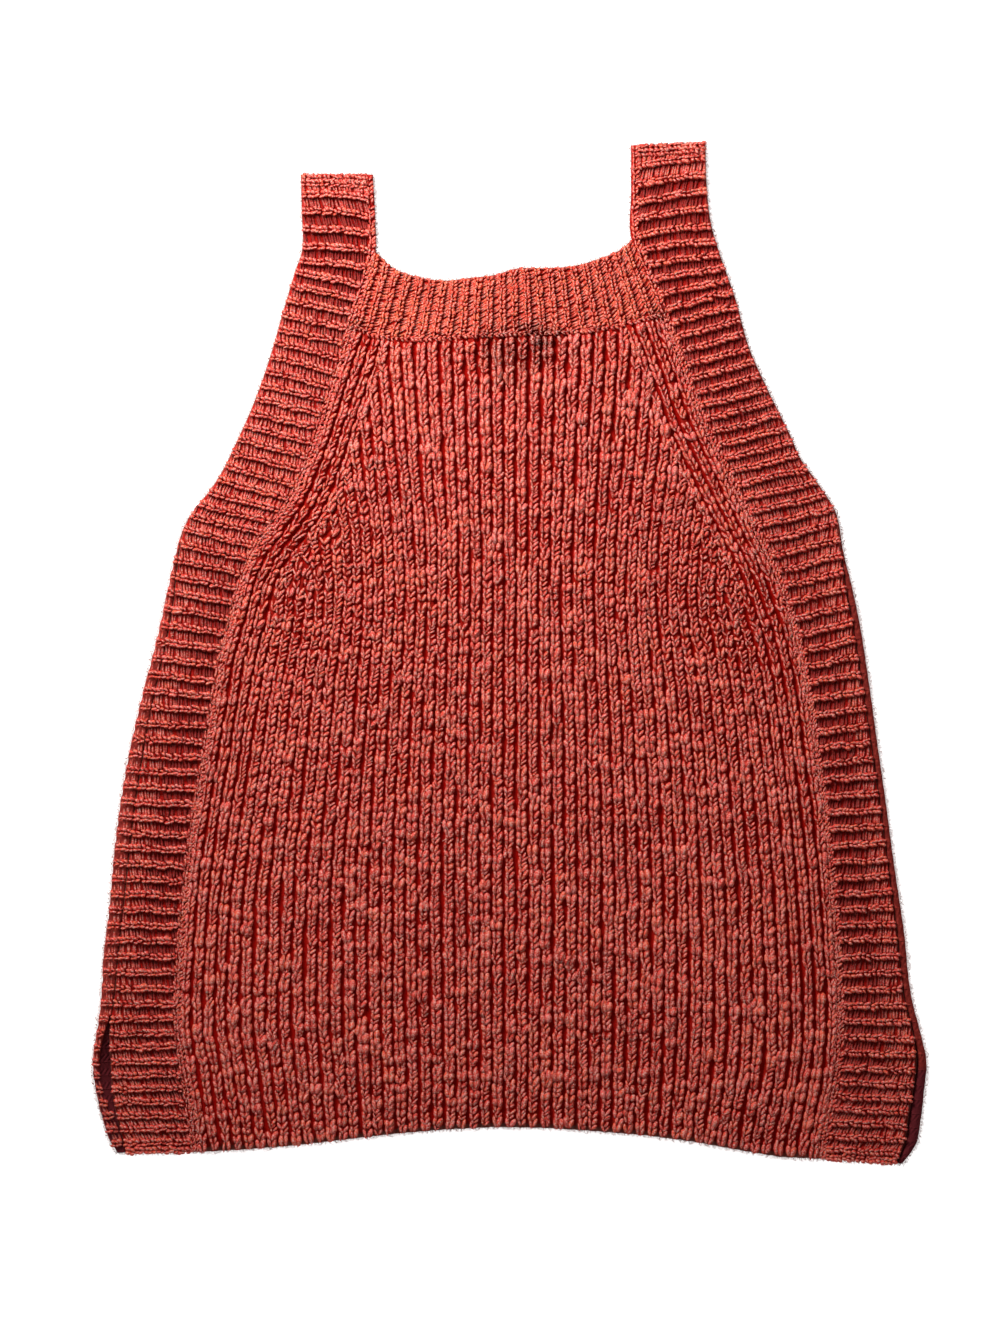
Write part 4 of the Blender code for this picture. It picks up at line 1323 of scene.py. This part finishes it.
def comb_height(place, opened):
    """How high a comb's strand runs at a place from one ridge to the next."""
    level = COMB_LEVELS[0] + (COMB_LEVELS[1] - COMB_LEVELS[0]) * place
    dip = np.interp(place, COMB_PLACES, COMB_DIP)
    return level - dip * (COMB_DEPTH[0] + (COMB_DEPTH[1] - COMB_DEPTH[0]) * opened)


def comb_numbers(rib):
    """The rib numbers at a comb strand's places, from a rib's ridge to the next."""
    return rib + RIDGE_PHASE + (COMB_START + (COMB_END - COMB_START) * COMB_PLACES)


def comb_place(numbers):
    """Where rib numbers lie between one ridge and the next, from 0 to 1."""
    return np.clip(((numbers - RIDGE_PHASE) % 1 - COMB_START) / (COMB_END - COMB_START), 0, 1)


# %% [markdown]
# ## The cloth of a band
#
# Under a band's strands lies a thin closed cloth, swept along the band with eight stations to a rib. It
# rises under a ridge and sinks under a trough, always a little below the combs. What shows of it is
# the dark between two strands, so its form may be simple, but it may not be missing. Its colour is
# painted shade, deeper away from the ridges and most where a trough is open.

# %% A band's cloth
BAND_ACROSS = np.array([0.0, 0.03, 0.15, 0.3, 0.45, 0.6, 0.75, 0.88, 0.96, 1.0])
CLOTH_PHASES = (0.0, 0.12, 0.22, 0.36, 0.5, 0.64, 0.78, 0.88)  # in ribs after a ridge's middle
SEWN_TOP = FRONT_FLOOR + 1.6  # a front cloth's top at its sewn edge


def closed_strip(name, rings, material):
    """A closed cloth through rings of points, with both ends filled."""
    rings = np.asarray(rings)
    count, around, _ = rings.shape
    index = np.arange(count * around).reshape(count, around)
    beside = np.roll(index, -1, axis=1)
    faces = np.stack([index[:-1], beside[:-1], beside[1:], index[1:]], axis=-1).reshape(-1, 4).tolist()
    faces += [index[0].tolist()[::-1], index[-1].tolist()]
    piece = piece_from(name, rings.reshape(-1, 3), faces, material)
    print(f"{name}: {len(faces)} faces")
    return piece


def cloth_numbers(ribs):
    """Rib numbers for a cloth's stations, close together where its form turns."""
    numbers = [rib + RIDGE_PHASE + phase for rib in range(-1, ribs) for phase in CLOTH_PHASES]
    return np.array([0.0] + [n for n in numbers if 0.02 < n < ribs - 0.02] + [float(ribs)])


def front_rings(flat, z):
    """Rings across a front cloth: its formed top, held low at both edges, and its plain underside."""
    z[:, 0], z[:, -1] = RIM_TOP, SEWN_TOP
    return np.concatenate([at_heights(flat, z), at_heights(flat[:, [-1, 0]], FRONT_FLOOR)], axis=1)


def band_cloth(band):
    numbers = cloth_numbers(band.ribs)
    shares = band_share(band, numbers)
    flat = band_places(band, numbers[:, None], BAND_ACROSS[None])
    opened = openness(band.opened, shares[:, None], BAND_ACROSS[None])
    z = comb_height(comb_place(numbers)[:, None], opened) - CLOTH_UNDER + lie(flat[..., 0], flat[..., 1])
    z = np.maximum(z, FRONT_FLOOR + 0.5)
    rings = front_rings(flat, z)
    rings[[0, -1], : flat.shape[1], 2] = RIM_TOP
    # Painted shade: deeper away from a ridge's middle, and most where the trough is open.
    away = np.abs((numbers - RIDGE_PHASE + 0.5) % 1 - 0.5) / 0.22
    shaded = np.clip(ease(np.clip(away, 0, 1))[:, None] * (0.4 + 0.6 * opened), 0, 1)
    pockets = np.concatenate([shaded, np.ones((len(numbers), 2))], axis=1)
    pockets[:, 0] = RIM_PAINT
    pockets[[0, -1]] = RIM_PAINT
    piece = closed_strip(f"front_band_{band.name}_cloth", rings[:, :: -band.side], band_shade_cloth)
    keep_values(piece, "painted_shade", pockets[:, :: -band.side])
    return piece


# %% [markdown]
# ## Ridges and combs
#
# The ridges are chains of the same Vs as the panel's, only finer. The combs could be a bump, but their
# strands dive too deep for one, so every strand is a short length of yarn. Each trough draws its own
# spacing, slant and thickness. A chain of tighter stitches runs along the seam and down the strap's
# neck side.

# %% Ridges, combs and the strip along the seam
BAND_GAUGE = Gauge(2.6, 3.6, 0.68, 1.5, 1.1, 1.14, 0.92)
STRIP_GAUGE = Gauge(2.5, 4.0, 0.62, 1.5, 1.3, 0.84, 0.76)
STRAP_GAUGE = Gauge(2.7, 4.0, 0.70, 1.6, 1.2, 0.90, 0.82)
COMB_STEP = 1.7  # from strand to strand
COMB_SLANT = 1.7  # how far a strand climbs along its ribs on its way to the next
COMB_SHAPE = np.array([0.76, 0.82, 1.0, 1.08])  # thin under the ridge above, full at the next
COMB_FLAT = 0.36  # how high a strand of a comb is for its width
COMB_LIFT = 0.12  # the least lift of its sides, so that they aren't in a shade of their own
LEAST_STRAND = 1.5  # a strand shorter than this is left out
CombYarn = namedtuple("CombYarn", "half uneven tint tint_spread material")
BAND_COMB = CombYarn(1.0, 0.15, 0.42, 0.15, coral_yarn)  # wide, so the strands lie close
EDGE_COMB = CombYarn(1.0, 0.15, 0.45, 0.16, coral_yarn)
NECK_COMB = CombYarn(0.98, 0.14, 0.42, 0.14, neck_yarn)
RIDGE_SPAN = (0.91, 0.005)  # from the strip along the seam to the free edge
STRIP_ACROSS = 0.95  # where the strip along the seam lies, for the band's width
STRAP_STRIP = 0.945
STRIP_STEPS = 600
SHOULDER_RIDGES = (0.27, 0.58)  # the first ridge is doubled, at the shoulder seam


def legs_along(paths, gauge, top, seed):
    """Legs for chains of stitches along paths, lying on the cloth."""
    legs = []
    for chain, path in enumerate(paths):
        places, ups = chain_places(path, gauge, seed + chain)
        x, y = places[:, 0], places[:, 1]
        sizes = 1 + 0.12 * drift(x, y, 6.0, 421)
        z = places[:, 2] if places.shape[1] > 2 else top + lie(x, y)
        raised = np.column_stack([places[:, :2], z])
        legs.append(v_legs(raised, ups, sizes, gauge, np.zeros(len(x)), seed + 500 + chain))
    return single(*[np.concatenate(group) for group in zip(*legs)], gauge)


def band_ridges(band):
    across = np.linspace(*RIDGE_SPAN, 44)
    ridges = np.concatenate([SHOULDER_RIDGES, np.arange(1, band.ribs) + RIDGE_PHASE, [band.ribs - 0.17]])
    paths = band_places(band, ridges[:, None], across[None])
    legs = legs_along(paths, BAND_GAUGE, BAND_TOP, 3000 + 1000 * band.side)
    return yarn_piece(f"front_band_{band.name}_ridges", *legs, coral_yarn, sides=4)


def comb_strands(yarn, rng, flat, z, shades):
    """A trough's strands: their centre lines, how thick each is, tints and shades."""
    count = len(flat)
    thick = np.clip(1 + yarn.uneven * rng.normal(size=count), 0.7, 1.35)
    tints = np.clip(yarn.tint + yarn.tint_spread * rng.normal(size=count), 0, 1)
    return at_heights(flat, z), thick, tints, shades


def comb_piece(name, yarn, troughs):
    """The strands of all the troughs as one piece."""
    lines, thick, tints, shades = [np.concatenate(group) for group in zip(*troughs)]
    kept = np.linalg.norm(lines[:, -1, :2] - lines[:, 0, :2], axis=1) >= LEAST_STRAND
    widths = yarn.half * thick[kept, None] * COMB_SHAPE
    strands = (lines[kept], widths, COMB_FLAT * widths, tints[kept])
    return yarn_piece(name, *strands, yarn.material, pockets=shades[kept], least_lift=COMB_LIFT)


def band_combs(band):
    rng = np.random.default_rng(400 + band.ribs)
    troughs = []
    for rib in range(-1, band.ribs):
        first = band_lines(band, band_share(band, np.array([max(rib + 0.75, 0.05)])))
        width = np.linalg.norm(first[1] - first[0])
        count = int(width * RIDGE_SPAN[0] / COMB_STEP)
        start = (np.arange(count) + 0.5 + 0.22 * rng.normal(size=count)) / count * RIDGE_SPAN[0]
        slant = COMB_SLANT / width * (1 + 0.35 * rng.normal(size=count))
        across = np.clip(start[:, None] + slant[:, None] * COMB_PLACES, 0.004, RIDGE_SPAN[0] + 0.02)
        numbers = comb_numbers(rib)[None] + 0.02 * rng.normal(size=(count, 1))
        numbers = np.clip(numbers, 0.03, band.ribs - 0.03)
        flat = band_places(band, numbers, across)
        opened = openness(band.opened, band_share(band, numbers[:, 2]), across[:, 2])
        z = comb_height(COMB_PLACES[None], opened[:, None]) + lie(flat[..., 0], flat[..., 1])
        z = z + 0.12 * rng.normal(size=(count, 1))
        troughs.append(comb_strands(BAND_COMB, rng, flat, z, comb_shade(opened)))
    return comb_piece(f"front_band_{band.name}_combs", BAND_COMB, troughs)


def band_strips(band):
    """The small stitches along the seam with the panel, and the chain down the strap's neck side."""
    numbers = np.linspace(0.1, band.ribs - 0.1, STRIP_STEPS)
    inner = band_places(band, numbers, 1.0)
    neck_y = NECKBAND[0].seam_y if band.side < 0 else NECKBAND[-1].seam_y
    strap = inner[:, 1] > neck_y + 2.0
    wide = band_places(band, numbers, np.where(strap, STRAP_STRIP, STRIP_ACROSS))
    edge = band_places(band, numbers, 0.995)
    fine = legs_along([wide[~strap][::-1], edge[~strap][::-1]], STRIP_GAUGE, 5.7, 5000)
    bold = legs_along([wide[strap][::-1]], STRAP_GAUGE, 5.9, 5100)
    both = [np.concatenate(pair) for pair in zip(fine, bold)]
    return yarn_piece(f"front_band_{band.name}_selvedge", *both, coral_yarn, sides=4)


band_cloths = {band.name: band_cloth(band) for band in BANDS}
band_yarns = {band.name: [band_ridges(band), band_combs(band), band_strips(band)] for band in BANDS}

# %% [markdown]
# ## The neckband
#
# The neckband is picked up along the panel's top and knitted upwards in the finest rib of the three.
# Its yarn has taken the dye a little more orange. The picked-up edge shows as a row of slanting grains.

# %% Places on the neckband
NECK_GAUGE = Gauge(2.15, 3.1, 0.64, 1.4, 1.1, 1.0, 0.84)
GRAIN_GAUGE = Gauge(2.8, 3.4, 0.35, 2.0, 1.1, 0.86, 0.80)
NECK_TOP = 5.8
NECK_WIDTH = 38.0
NECK_STRANDS = 22  # in each trough
NECK_OPEN = 0.3  # how open its troughs are
NECK_COMB_RISE = 2.4  # how far a strand climbs along the rib on its way to the next
NECK_ACROSS = np.array([0.0, 0.04, 0.2, 0.5, 0.8, 0.96, 1.0])
NECK_LIFT = -0.45  # the neckband lies lower than the side bands


def neck_places(numbers, across):
    """Places on the neckband, by rib number and by share of the way from its free edge to its seam."""
    numbers, across = np.broadcast_arrays(numbers, across)
    shares = rib_share(numbers.ravel(), NECK_RIBS, NECK_SPACING, table_length(NECKBAND))
    sections = neck_sections(shares)
    flat = sections[:, 0:2] + (sections[:, 2:4] - sections[:, 0:2]) * across.ravel()[:, None]
    sway = 0.35 * drift(flat[:, 0], flat[:, 1], 12.0, 78) * np.clip(numbers.ravel(), 0, 1)
    flat[:, 0] += sway * np.clip(NECK_RIBS - numbers.ravel(), 0, 1)
    return flat.reshape(*numbers.shape, 2)


def neckband_cloth():
    numbers = cloth_numbers(NECK_RIBS)
    flat = neck_places(numbers[:, None], NECK_ACROSS[None])
    z = comb_height(comb_place(numbers)[:, None], NECK_OPEN) + NECK_LIFT - CLOTH_UNDER
    rings = front_rings(flat, z + lie(flat[..., 0], flat[..., 1]))
    piece = closed_strip("front_neckband_cloth", rings[:, ::-1], band_shade_cloth)
    # Painted shade: the neckband's cloth is mostly its trough colour.
    pockets = np.full(rings.shape[:2], 0.7)
    pockets[:, -1] = RIM_PAINT
    keep_values(piece, "painted_shade", pockets)
    return piece


def neckband_ridges():
    across = np.linspace(0.95, 0.01, 40)
    paths = list(neck_places((np.arange(NECK_RIBS) + RIDGE_PHASE)[:, None], across[None]))
    legs = legs_along(paths, NECK_GAUGE, NECK_TOP, 7000)
    return yarn_piece("front_neckband_ridges", *legs, neck_yarn, sides=4)


def neckband_seam():
    """The picked-up edge: slanting grains in the panel's own yarn."""
    seam = neck_places(np.linspace(0.1, NECK_RIBS - 0.1, 300), 0.985)
    grains = legs_along([seam + (0.0, 0.3)], GRAIN_GAUGE, 5.9, 7300)
    return yarn_piece("front_neckband_seam", *grains, coral_yarn, sides=4)


def neckband_combs():
    rng = np.random.default_rng(77)
    troughs = []
    curve = COMB_PLACES - 0.8 * np.sin(math.pi * COMB_PLACES) / math.pi
    for rib in range(-1, NECK_RIBS):
        places = np.arange(NECK_STRANDS) + 0.5 + 0.2 * rng.normal(size=NECK_STRANDS)
        start = places / NECK_STRANDS * 0.94 + 0.02
        rise = NECK_COMB_RISE * (1 + 0.3 * rng.normal(size=(NECK_STRANDS, 1)))
        across = np.clip(start[:, None] - rise / NECK_WIDTH * curve, 0.01, 0.97)
        flat = neck_places(np.clip(comb_numbers(rib), 0.02, NECK_RIBS - 0.02)[None], across)
        opened = NECK_OPEN + 0.15 * drift(flat[:, 2, 0], flat[:, 2, 1], 30.0, 81)
        z = comb_height(COMB_PLACES[None], opened[:, None]) + NECK_LIFT + lie(flat[..., 0], flat[..., 1])
        troughs.append(comb_strands(NECK_COMB, rng, flat, z, comb_shade(opened)))
    return comb_piece("front_neckband_combs", NECK_COMB, troughs)


neck_cloth = neckband_cloth()
neck_yarns = [neckband_ridges(), neckband_combs(), neckband_seam()]

# %% [markdown]
# ## The back
#
# The back is cut like the front and lies underneath, so only its side bands show: down both sides they
# turn up round the edge and end beside the front bands, the left one with its ribs outwards, the right
# one rolled so far that its smooth inside shows, painted dark as shade. Below the slits the back bands
# come out from under the front ones. The underside has the same ribs as the front, pressed flat where
# it rests, and its stitches are grain on the ribs, with painted shade between them.

# %% Back panel and back neckband
UNDER_RELIEF = 0.9  # how far up between its ribs the underside's cloth goes


def under_form(x, y, ridge):
    return UNDER_RELIEF * (1 - ridge)


back_hem = hem_line + (0.0, TUCK)
back_panel_cloth = panel_cloth(
    "back_panel_cloth", neck_line, back_hem, (340, 40), under_form, BACK_WALL, back_cloth
)


def ribbed_strip(name, rings, pockets, numbers, stitches, side):
    """A closed cloth with the values for knitted cotton on its points."""
    order = slice(None, None, -side)
    piece = closed_strip(name, rings[:, order], back_cloth)
    keep_values(piece, "painted_shade", pockets[:, order])
    keep_values(piece, "rib", np.broadcast_to(numbers[:, None] - RIDGE_PHASE + 0.5, pockets.shape))
    keep_values(piece, "stitch", stitches[:, order])
    return piece


def back_neckband():
    numbers = cloth_numbers(NECK_RIBS)
    across = np.array([1.0, 0.7, 0.4, 0.1, 0.03])  # the sewn edge first
    flat = neck_places(numbers[:, None], across[None]) - (0.0, TUCK)
    ridge = rib_form(numbers - RIDGE_PHASE + 0.5)
    lower = at_heights(flat, UNDER_RELIEF * (1 - ridge)[:, None])
    upper = at_heights(flat[:, ::-1], BACK_WALL)
    # Painted shade in the troughs between the ribs.
    troughs = np.broadcast_to(1 - ridge[:, None], flat.shape[:2])
    pockets = np.concatenate([troughs, np.ones(troughs.shape)], axis=1)
    stitches = np.broadcast_to(np.concatenate([across, across[::-1]]) * 18.0, pockets.shape)
    rings = np.concatenate([lower, upper], axis=1)
    return ribbed_strip("back_neckband_cloth", rings, pockets, numbers, stitches, 1)


# %% [markdown]
# ## The turned edges
#
# A back band goes round the garment's side and ends on top, beside the front one. Its cloth is swept
# like a front band's, with rings that run round the edge, and a column of the bands' tables says how far
# they reach in. Only the left edge shows its ribs, so only that one has strands.

# %% Back bands, turned up along their outer edge
TURN_TOP = 5.6
TURN_FULL = 3.0  # how wide a turned edge is where it stands at its full height
TURN_ACROSS = np.array([0.30, 0.10, 0.0, 0.05, 0.25, 0.55, 0.85, 1.0, 1.0])
TURN_UP = np.array([0.0, 0.14, 0.42, 0.74, 0.95, 1.0, 0.92, 0.7, 0.0])
TURN_STARTS = np.array([0.0, 0.0, 0.0, 0.0, 0.0, 0.0, 1.0, 1.0, 1.0]) * BACK_WALL
Turned = namedtuple("Turned", "shade trough_shade slit_shade scallop")
TURNED = {"left": Turned(0.35, 0.6, 0.8, 0.4), "right": Turned(0.85, 0.0, 2.0, 0.1)}
# The smooth wrong side is painted dark, as shade.
INSIDE_SHADE = 2.0  # marks the smooth wrong side
SLIT_TOP = -243.0
EDGE_GAUGE = Gauge(2.5, 3.4, 0.76, 1.4, 1.1, 0.94, 0.86)
LEAST_TURNED = 2.2  # a turned edge narrower than this shows no stitches


def back_lines(band, numbers):
    """A back band by rib number: its outline, the way inwards, its width and how much is turned up."""
    shares = band_share(band, numbers)
    sections = smooth_rows(band.rows, shares)
    inner = sideways_steady(band, sections[:, 2:4], shares)
    inner[:, 1] += TUCK * np.clip((shares - 0.985) / 0.015, 0, 1)
    outline = sections[:, 0:2]
    width = np.linalg.norm(inner - outline, axis=1)
    return outline, (inner - outline) / width[:, None], width, np.clip(sections[:, 4], 0, None)


def slit_shade(y):
    """How far a place is below the slit's top, where the turned edge lies open and in shade."""
    return ease(np.clip((SLIT_TOP - y) / 10.0, 0, 1))


def back_band_cloth(band):
    numbers = cloth_numbers(band.ribs)
    outline, inwards, width, turned = back_lines(band, numbers)
    look = TURNED[band.name]
    ridge = rib_form(numbers - RIDGE_PHASE + 0.5)
    rolled = np.clip(turned / TURN_FULL, 0, 1)
    top = BACK_WALL + (TURN_TOP - BACK_WALL) * rolled
    scalloped = look.scallop * (1 - ridge) * rolled
    edge = TURN_ACROSS * np.maximum(turned, 1.4)[:, None] + scalloped[:, None] * (TURN_ACROSS < 0.9)
    edge_z = TURN_STARTS + (top[:, None] - TURN_STARTS) * TURN_UP - 0.6 * (scalloped[:, None] * TURN_UP)
    under = width[:, None] * np.array([1.0, 0.75, 0.5, 0.25])
    under_z = np.broadcast_to(UNDER_RELIEF * (1 - ridge)[:, None], under.shape)
    away = np.concatenate([under, edge, width[:, None]], axis=1)
    z = np.concatenate([under_z, edge_z, np.full((len(numbers), 1), BACK_WALL)], axis=1)
    rings = at_heights(outline[:, None] + inwards[:, None] * away[..., None], z)
    # Painted shade: in the troughs, on top of the turned edges, on the smooth wrong side and where a slit
    # lies open.
    pockets = np.ones(z.shape)
    pockets[:, :4] = 1 - ridge[:, None]
    on_top = look.shade + look.trough_shade * (1 - ridge)
    open_slit = slit_shade(outline[:, 1])
    pockets[:, 4:7] = (on_top + open_slit * (look.slit_shade - on_top))[:, None]
    pockets[:, 7:12] = (on_top + open_slit * (INSIDE_SHADE - on_top))[:, None]
    pockets[:, 12:] = INSIDE_SHADE
    stitches = np.where(np.arange(z.shape[1]) < 6, away, -away) / 2.6
    name = f"back_band_{band.name}_cloth"
    return ribbed_strip(name, rings, pockets, numbers, stitches, band.side)


def roll_height(away, width):
    """How high stitches lie on a turned edge, at a distance from the garment's side."""
    return 2.8 + 3.2 * np.sin(np.clip(away / (0.45 * width), 0, 1) * math.pi / 2)


def turned_edge_ribs(band):
    """Short pairs of legs across the turned edge, over its roll and down its outer side."""
    numbers = np.arange(band.ribs) + RIDGE_PHASE
    outline, inwards, _, turned = back_lines(band, numbers)
    paths = []
    for place, inward, width in zip(outline, inwards, turned):
        if width > LEAST_TURNED:
            away = np.linspace(width - 0.4, 0.9, 12)
            paths.append(np.column_stack([place + inward * away[:, None], roll_height(away, width)]))
    legs = legs_along(paths, EDGE_GAUGE, 0.0, 8000)
    shades = 0.3 * slit_shade(legs[0][..., 1])
    return yarn_piece(f"back_band_{band.name}_ribs", *legs, coral_yarn, sides=4, pockets=shades)


def turned_edge_combs(band):
    """The strands between those ribs, shaded only where a rib stands over them."""
    rng = np.random.default_rng(91)
    troughs = []
    for rib in range(-1, band.ribs - 1):
        outline, inwards, _, turned = back_lines(band, np.clip(comb_numbers(rib), 0, band.ribs))
        if turned.min() < LEAST_TURNED:
            continue
        count = int((turned[0] - 0.6) / COMB_STEP)
        away = 0.8 + (np.arange(count)[:, None] + 0.3 * rng.normal(size=(count, 1))) * COMB_STEP
        away = np.clip(away + 0.8 * COMB_PLACES, 0.4, turned - 0.3)
        z = roll_height(away, turned) - 0.35 - 0.5 * COMB_DIP + 0.1 * rng.normal(size=(count, 1))
        flat = outline[None] + inwards[None] * away[..., None]
        shades = np.maximum(RIDGE_SHADE, 0.4 * slit_shade(flat[..., 1]))
        troughs.append(comb_strands(EDGE_COMB, rng, flat, z, shades))
    return comb_piece(f"back_band_{band.name}_combs", EDGE_COMB, troughs)


back_neck_cloth = back_neckband()
back_bands = {band.name: back_band_cloth(band) for band in BANDS}
left_edge_yarns = [turned_edge_ribs(BANDS[0]), turned_edge_combs(BANDS[0])]

# %% [markdown]
# ## Loose fibres
#
# Cotton yarn is hairy, and it shows most against the pale floor: a thin haze of fibre ends all round
# the garment. One longer, paler thread has come to lie on the panel.

# %% Fibres round the outline, and one stray thread
FIBRES_EACH = 2.2  # fibres for each millimetre of outline
FIBRE_HALF = 0.14
FIBRE_REACH = (1.0, 3.2)
FIBRE_SHARES = np.array([-0.5, 0.1, 0.6, 1.0])  # where its points are, from inside the cloth to its tip
STRAY = ((-46.5, -101.0), (-42.0, -99.5), (-38.5, -102.0), (-36.0, -106.5), (-37.5, -110.5), (-41.0, -112.0))
STRAY_HALF = 0.22


def outline_runs():
    """The free edges as lines, each with the garment on its left."""
    left, right = [smooth_rows(band.rows, np.linspace(0, 1, 900)) for band in BANDS]
    neck = neck_sections(np.linspace(0, 1, 200))[:, 0:2]
    down_left, up_right = left[:, 0:2], right[::-1, 0:2]
    left_strap = left[:, 2:4][left[:, 3] > neck[0, 1]]
    right_strap = right[:, 2:4][right[:, 3] > neck[-1, 1]][::-1]
    hem = np.array([left[-1, 0:2], left[-1, 2:4], *hem_line, right[-1, 2:4], right[-1, 0:2]])
    tops = [np.array([row[0, 2:4], row[0, 0:2]]) for row in (left, right)]
    down_right_strap, up_left_strap = right_strap[::-1], left_strap[::-1]
    return [down_left, hem, up_right, tops[1][::-1], down_right_strap, neck[::-1], up_left_strap, tops[0]]


def outline_fibres():
    rng = np.random.default_rng(55)
    lines = []
    for run in outline_runs():
        line = spaced(run, max(int(reach_along(run)[-1] * FIBRES_EACH), 4))
        along = directions(line)
        outwards = np.stack([along[:, 1], -along[:, 0]], axis=1)
        reach = rng.uniform(*FIBRE_REACH, len(line)) * rng.uniform(0.4, 1.0, len(line))
        swept = 0.9 * rng.normal(size=len(line))
        out = FIBRE_SHARES * reach[:, None]
        beside = swept[:, None] * reach[:, None] * FIBRE_SHARES * np.abs(FIBRE_SHARES)
        flat = line[:, None] + outwards[:, None] * out[..., None] + along[:, None] * beside[..., None]
        z = rng.uniform(1.5, 5.2, len(line))[:, None] + 0.5 * rng.normal(size=(len(line), 1)) * FIBRE_SHARES
        lines.append(at_heights(flat, z))
    lines = np.concatenate(lines)
    widths = np.full((len(lines), 2), FIBRE_HALF)
    tints = np.clip(0.5 + 0.2 * rng.normal(size=len(lines)), 0, 1)
    return yarn_piece("outline_fibres", lines, widths, widths, tints, brown_fibre)


def stray_thread():
    corners = [np.pad(column, 4, "edge") for column in spaced(np.array(STRAY), 40).T]
    bent = np.stack([np.convolve(column, np.ones(9) / 9, "valid") for column in corners], axis=1)
    line = at_heights(bent, PANEL_TOP + 1.3)[None]
    widths = np.full((1, len(bent) - 2), STRAY_HALF)
    return yarn_piece("stray_thread", line, widths, widths, np.array([1.0]), pale_thread)


loose_pieces = [outline_fibres(), stray_thread()]

# %% [markdown]
# ## What each piece stands for
#
# Every piece goes with the part's one body. Each cloth takes the place of its solid, and the yarns on it
# belong to it.

# %% Attach every piece to the body, and hide the solids the cloths replace
Cut = namedtuple("Cut", "flat area")  # in metres, and square metres


def declare_cloth(cloth, yarns, node):
    for piece in [cloth, *yarns]:
        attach(piece, "root")
    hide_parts(node)


panel_pieces += loose_pieces
declare_cloth(front_panel_cloth, panel_pieces, "front_panel")
declare_cloth(neck_cloth, neck_yarns, "front_neckband")
for band in BANDS:
    cloth, yarns = band_cloths[band.name], band_yarns[band.name]
    declare_cloth(cloth, yarns, f"front_band_{band.name}")
declare_cloth(back_panel_cloth, [], "back_panel")
declare_cloth(back_neck_cloth, [], "back_neckband")
for band in BANDS:
    yarns = left_edge_yarns if band.side < 0 else []
    declare_cloth(back_bands[band.name], yarns, f"back_band_{band.name}")
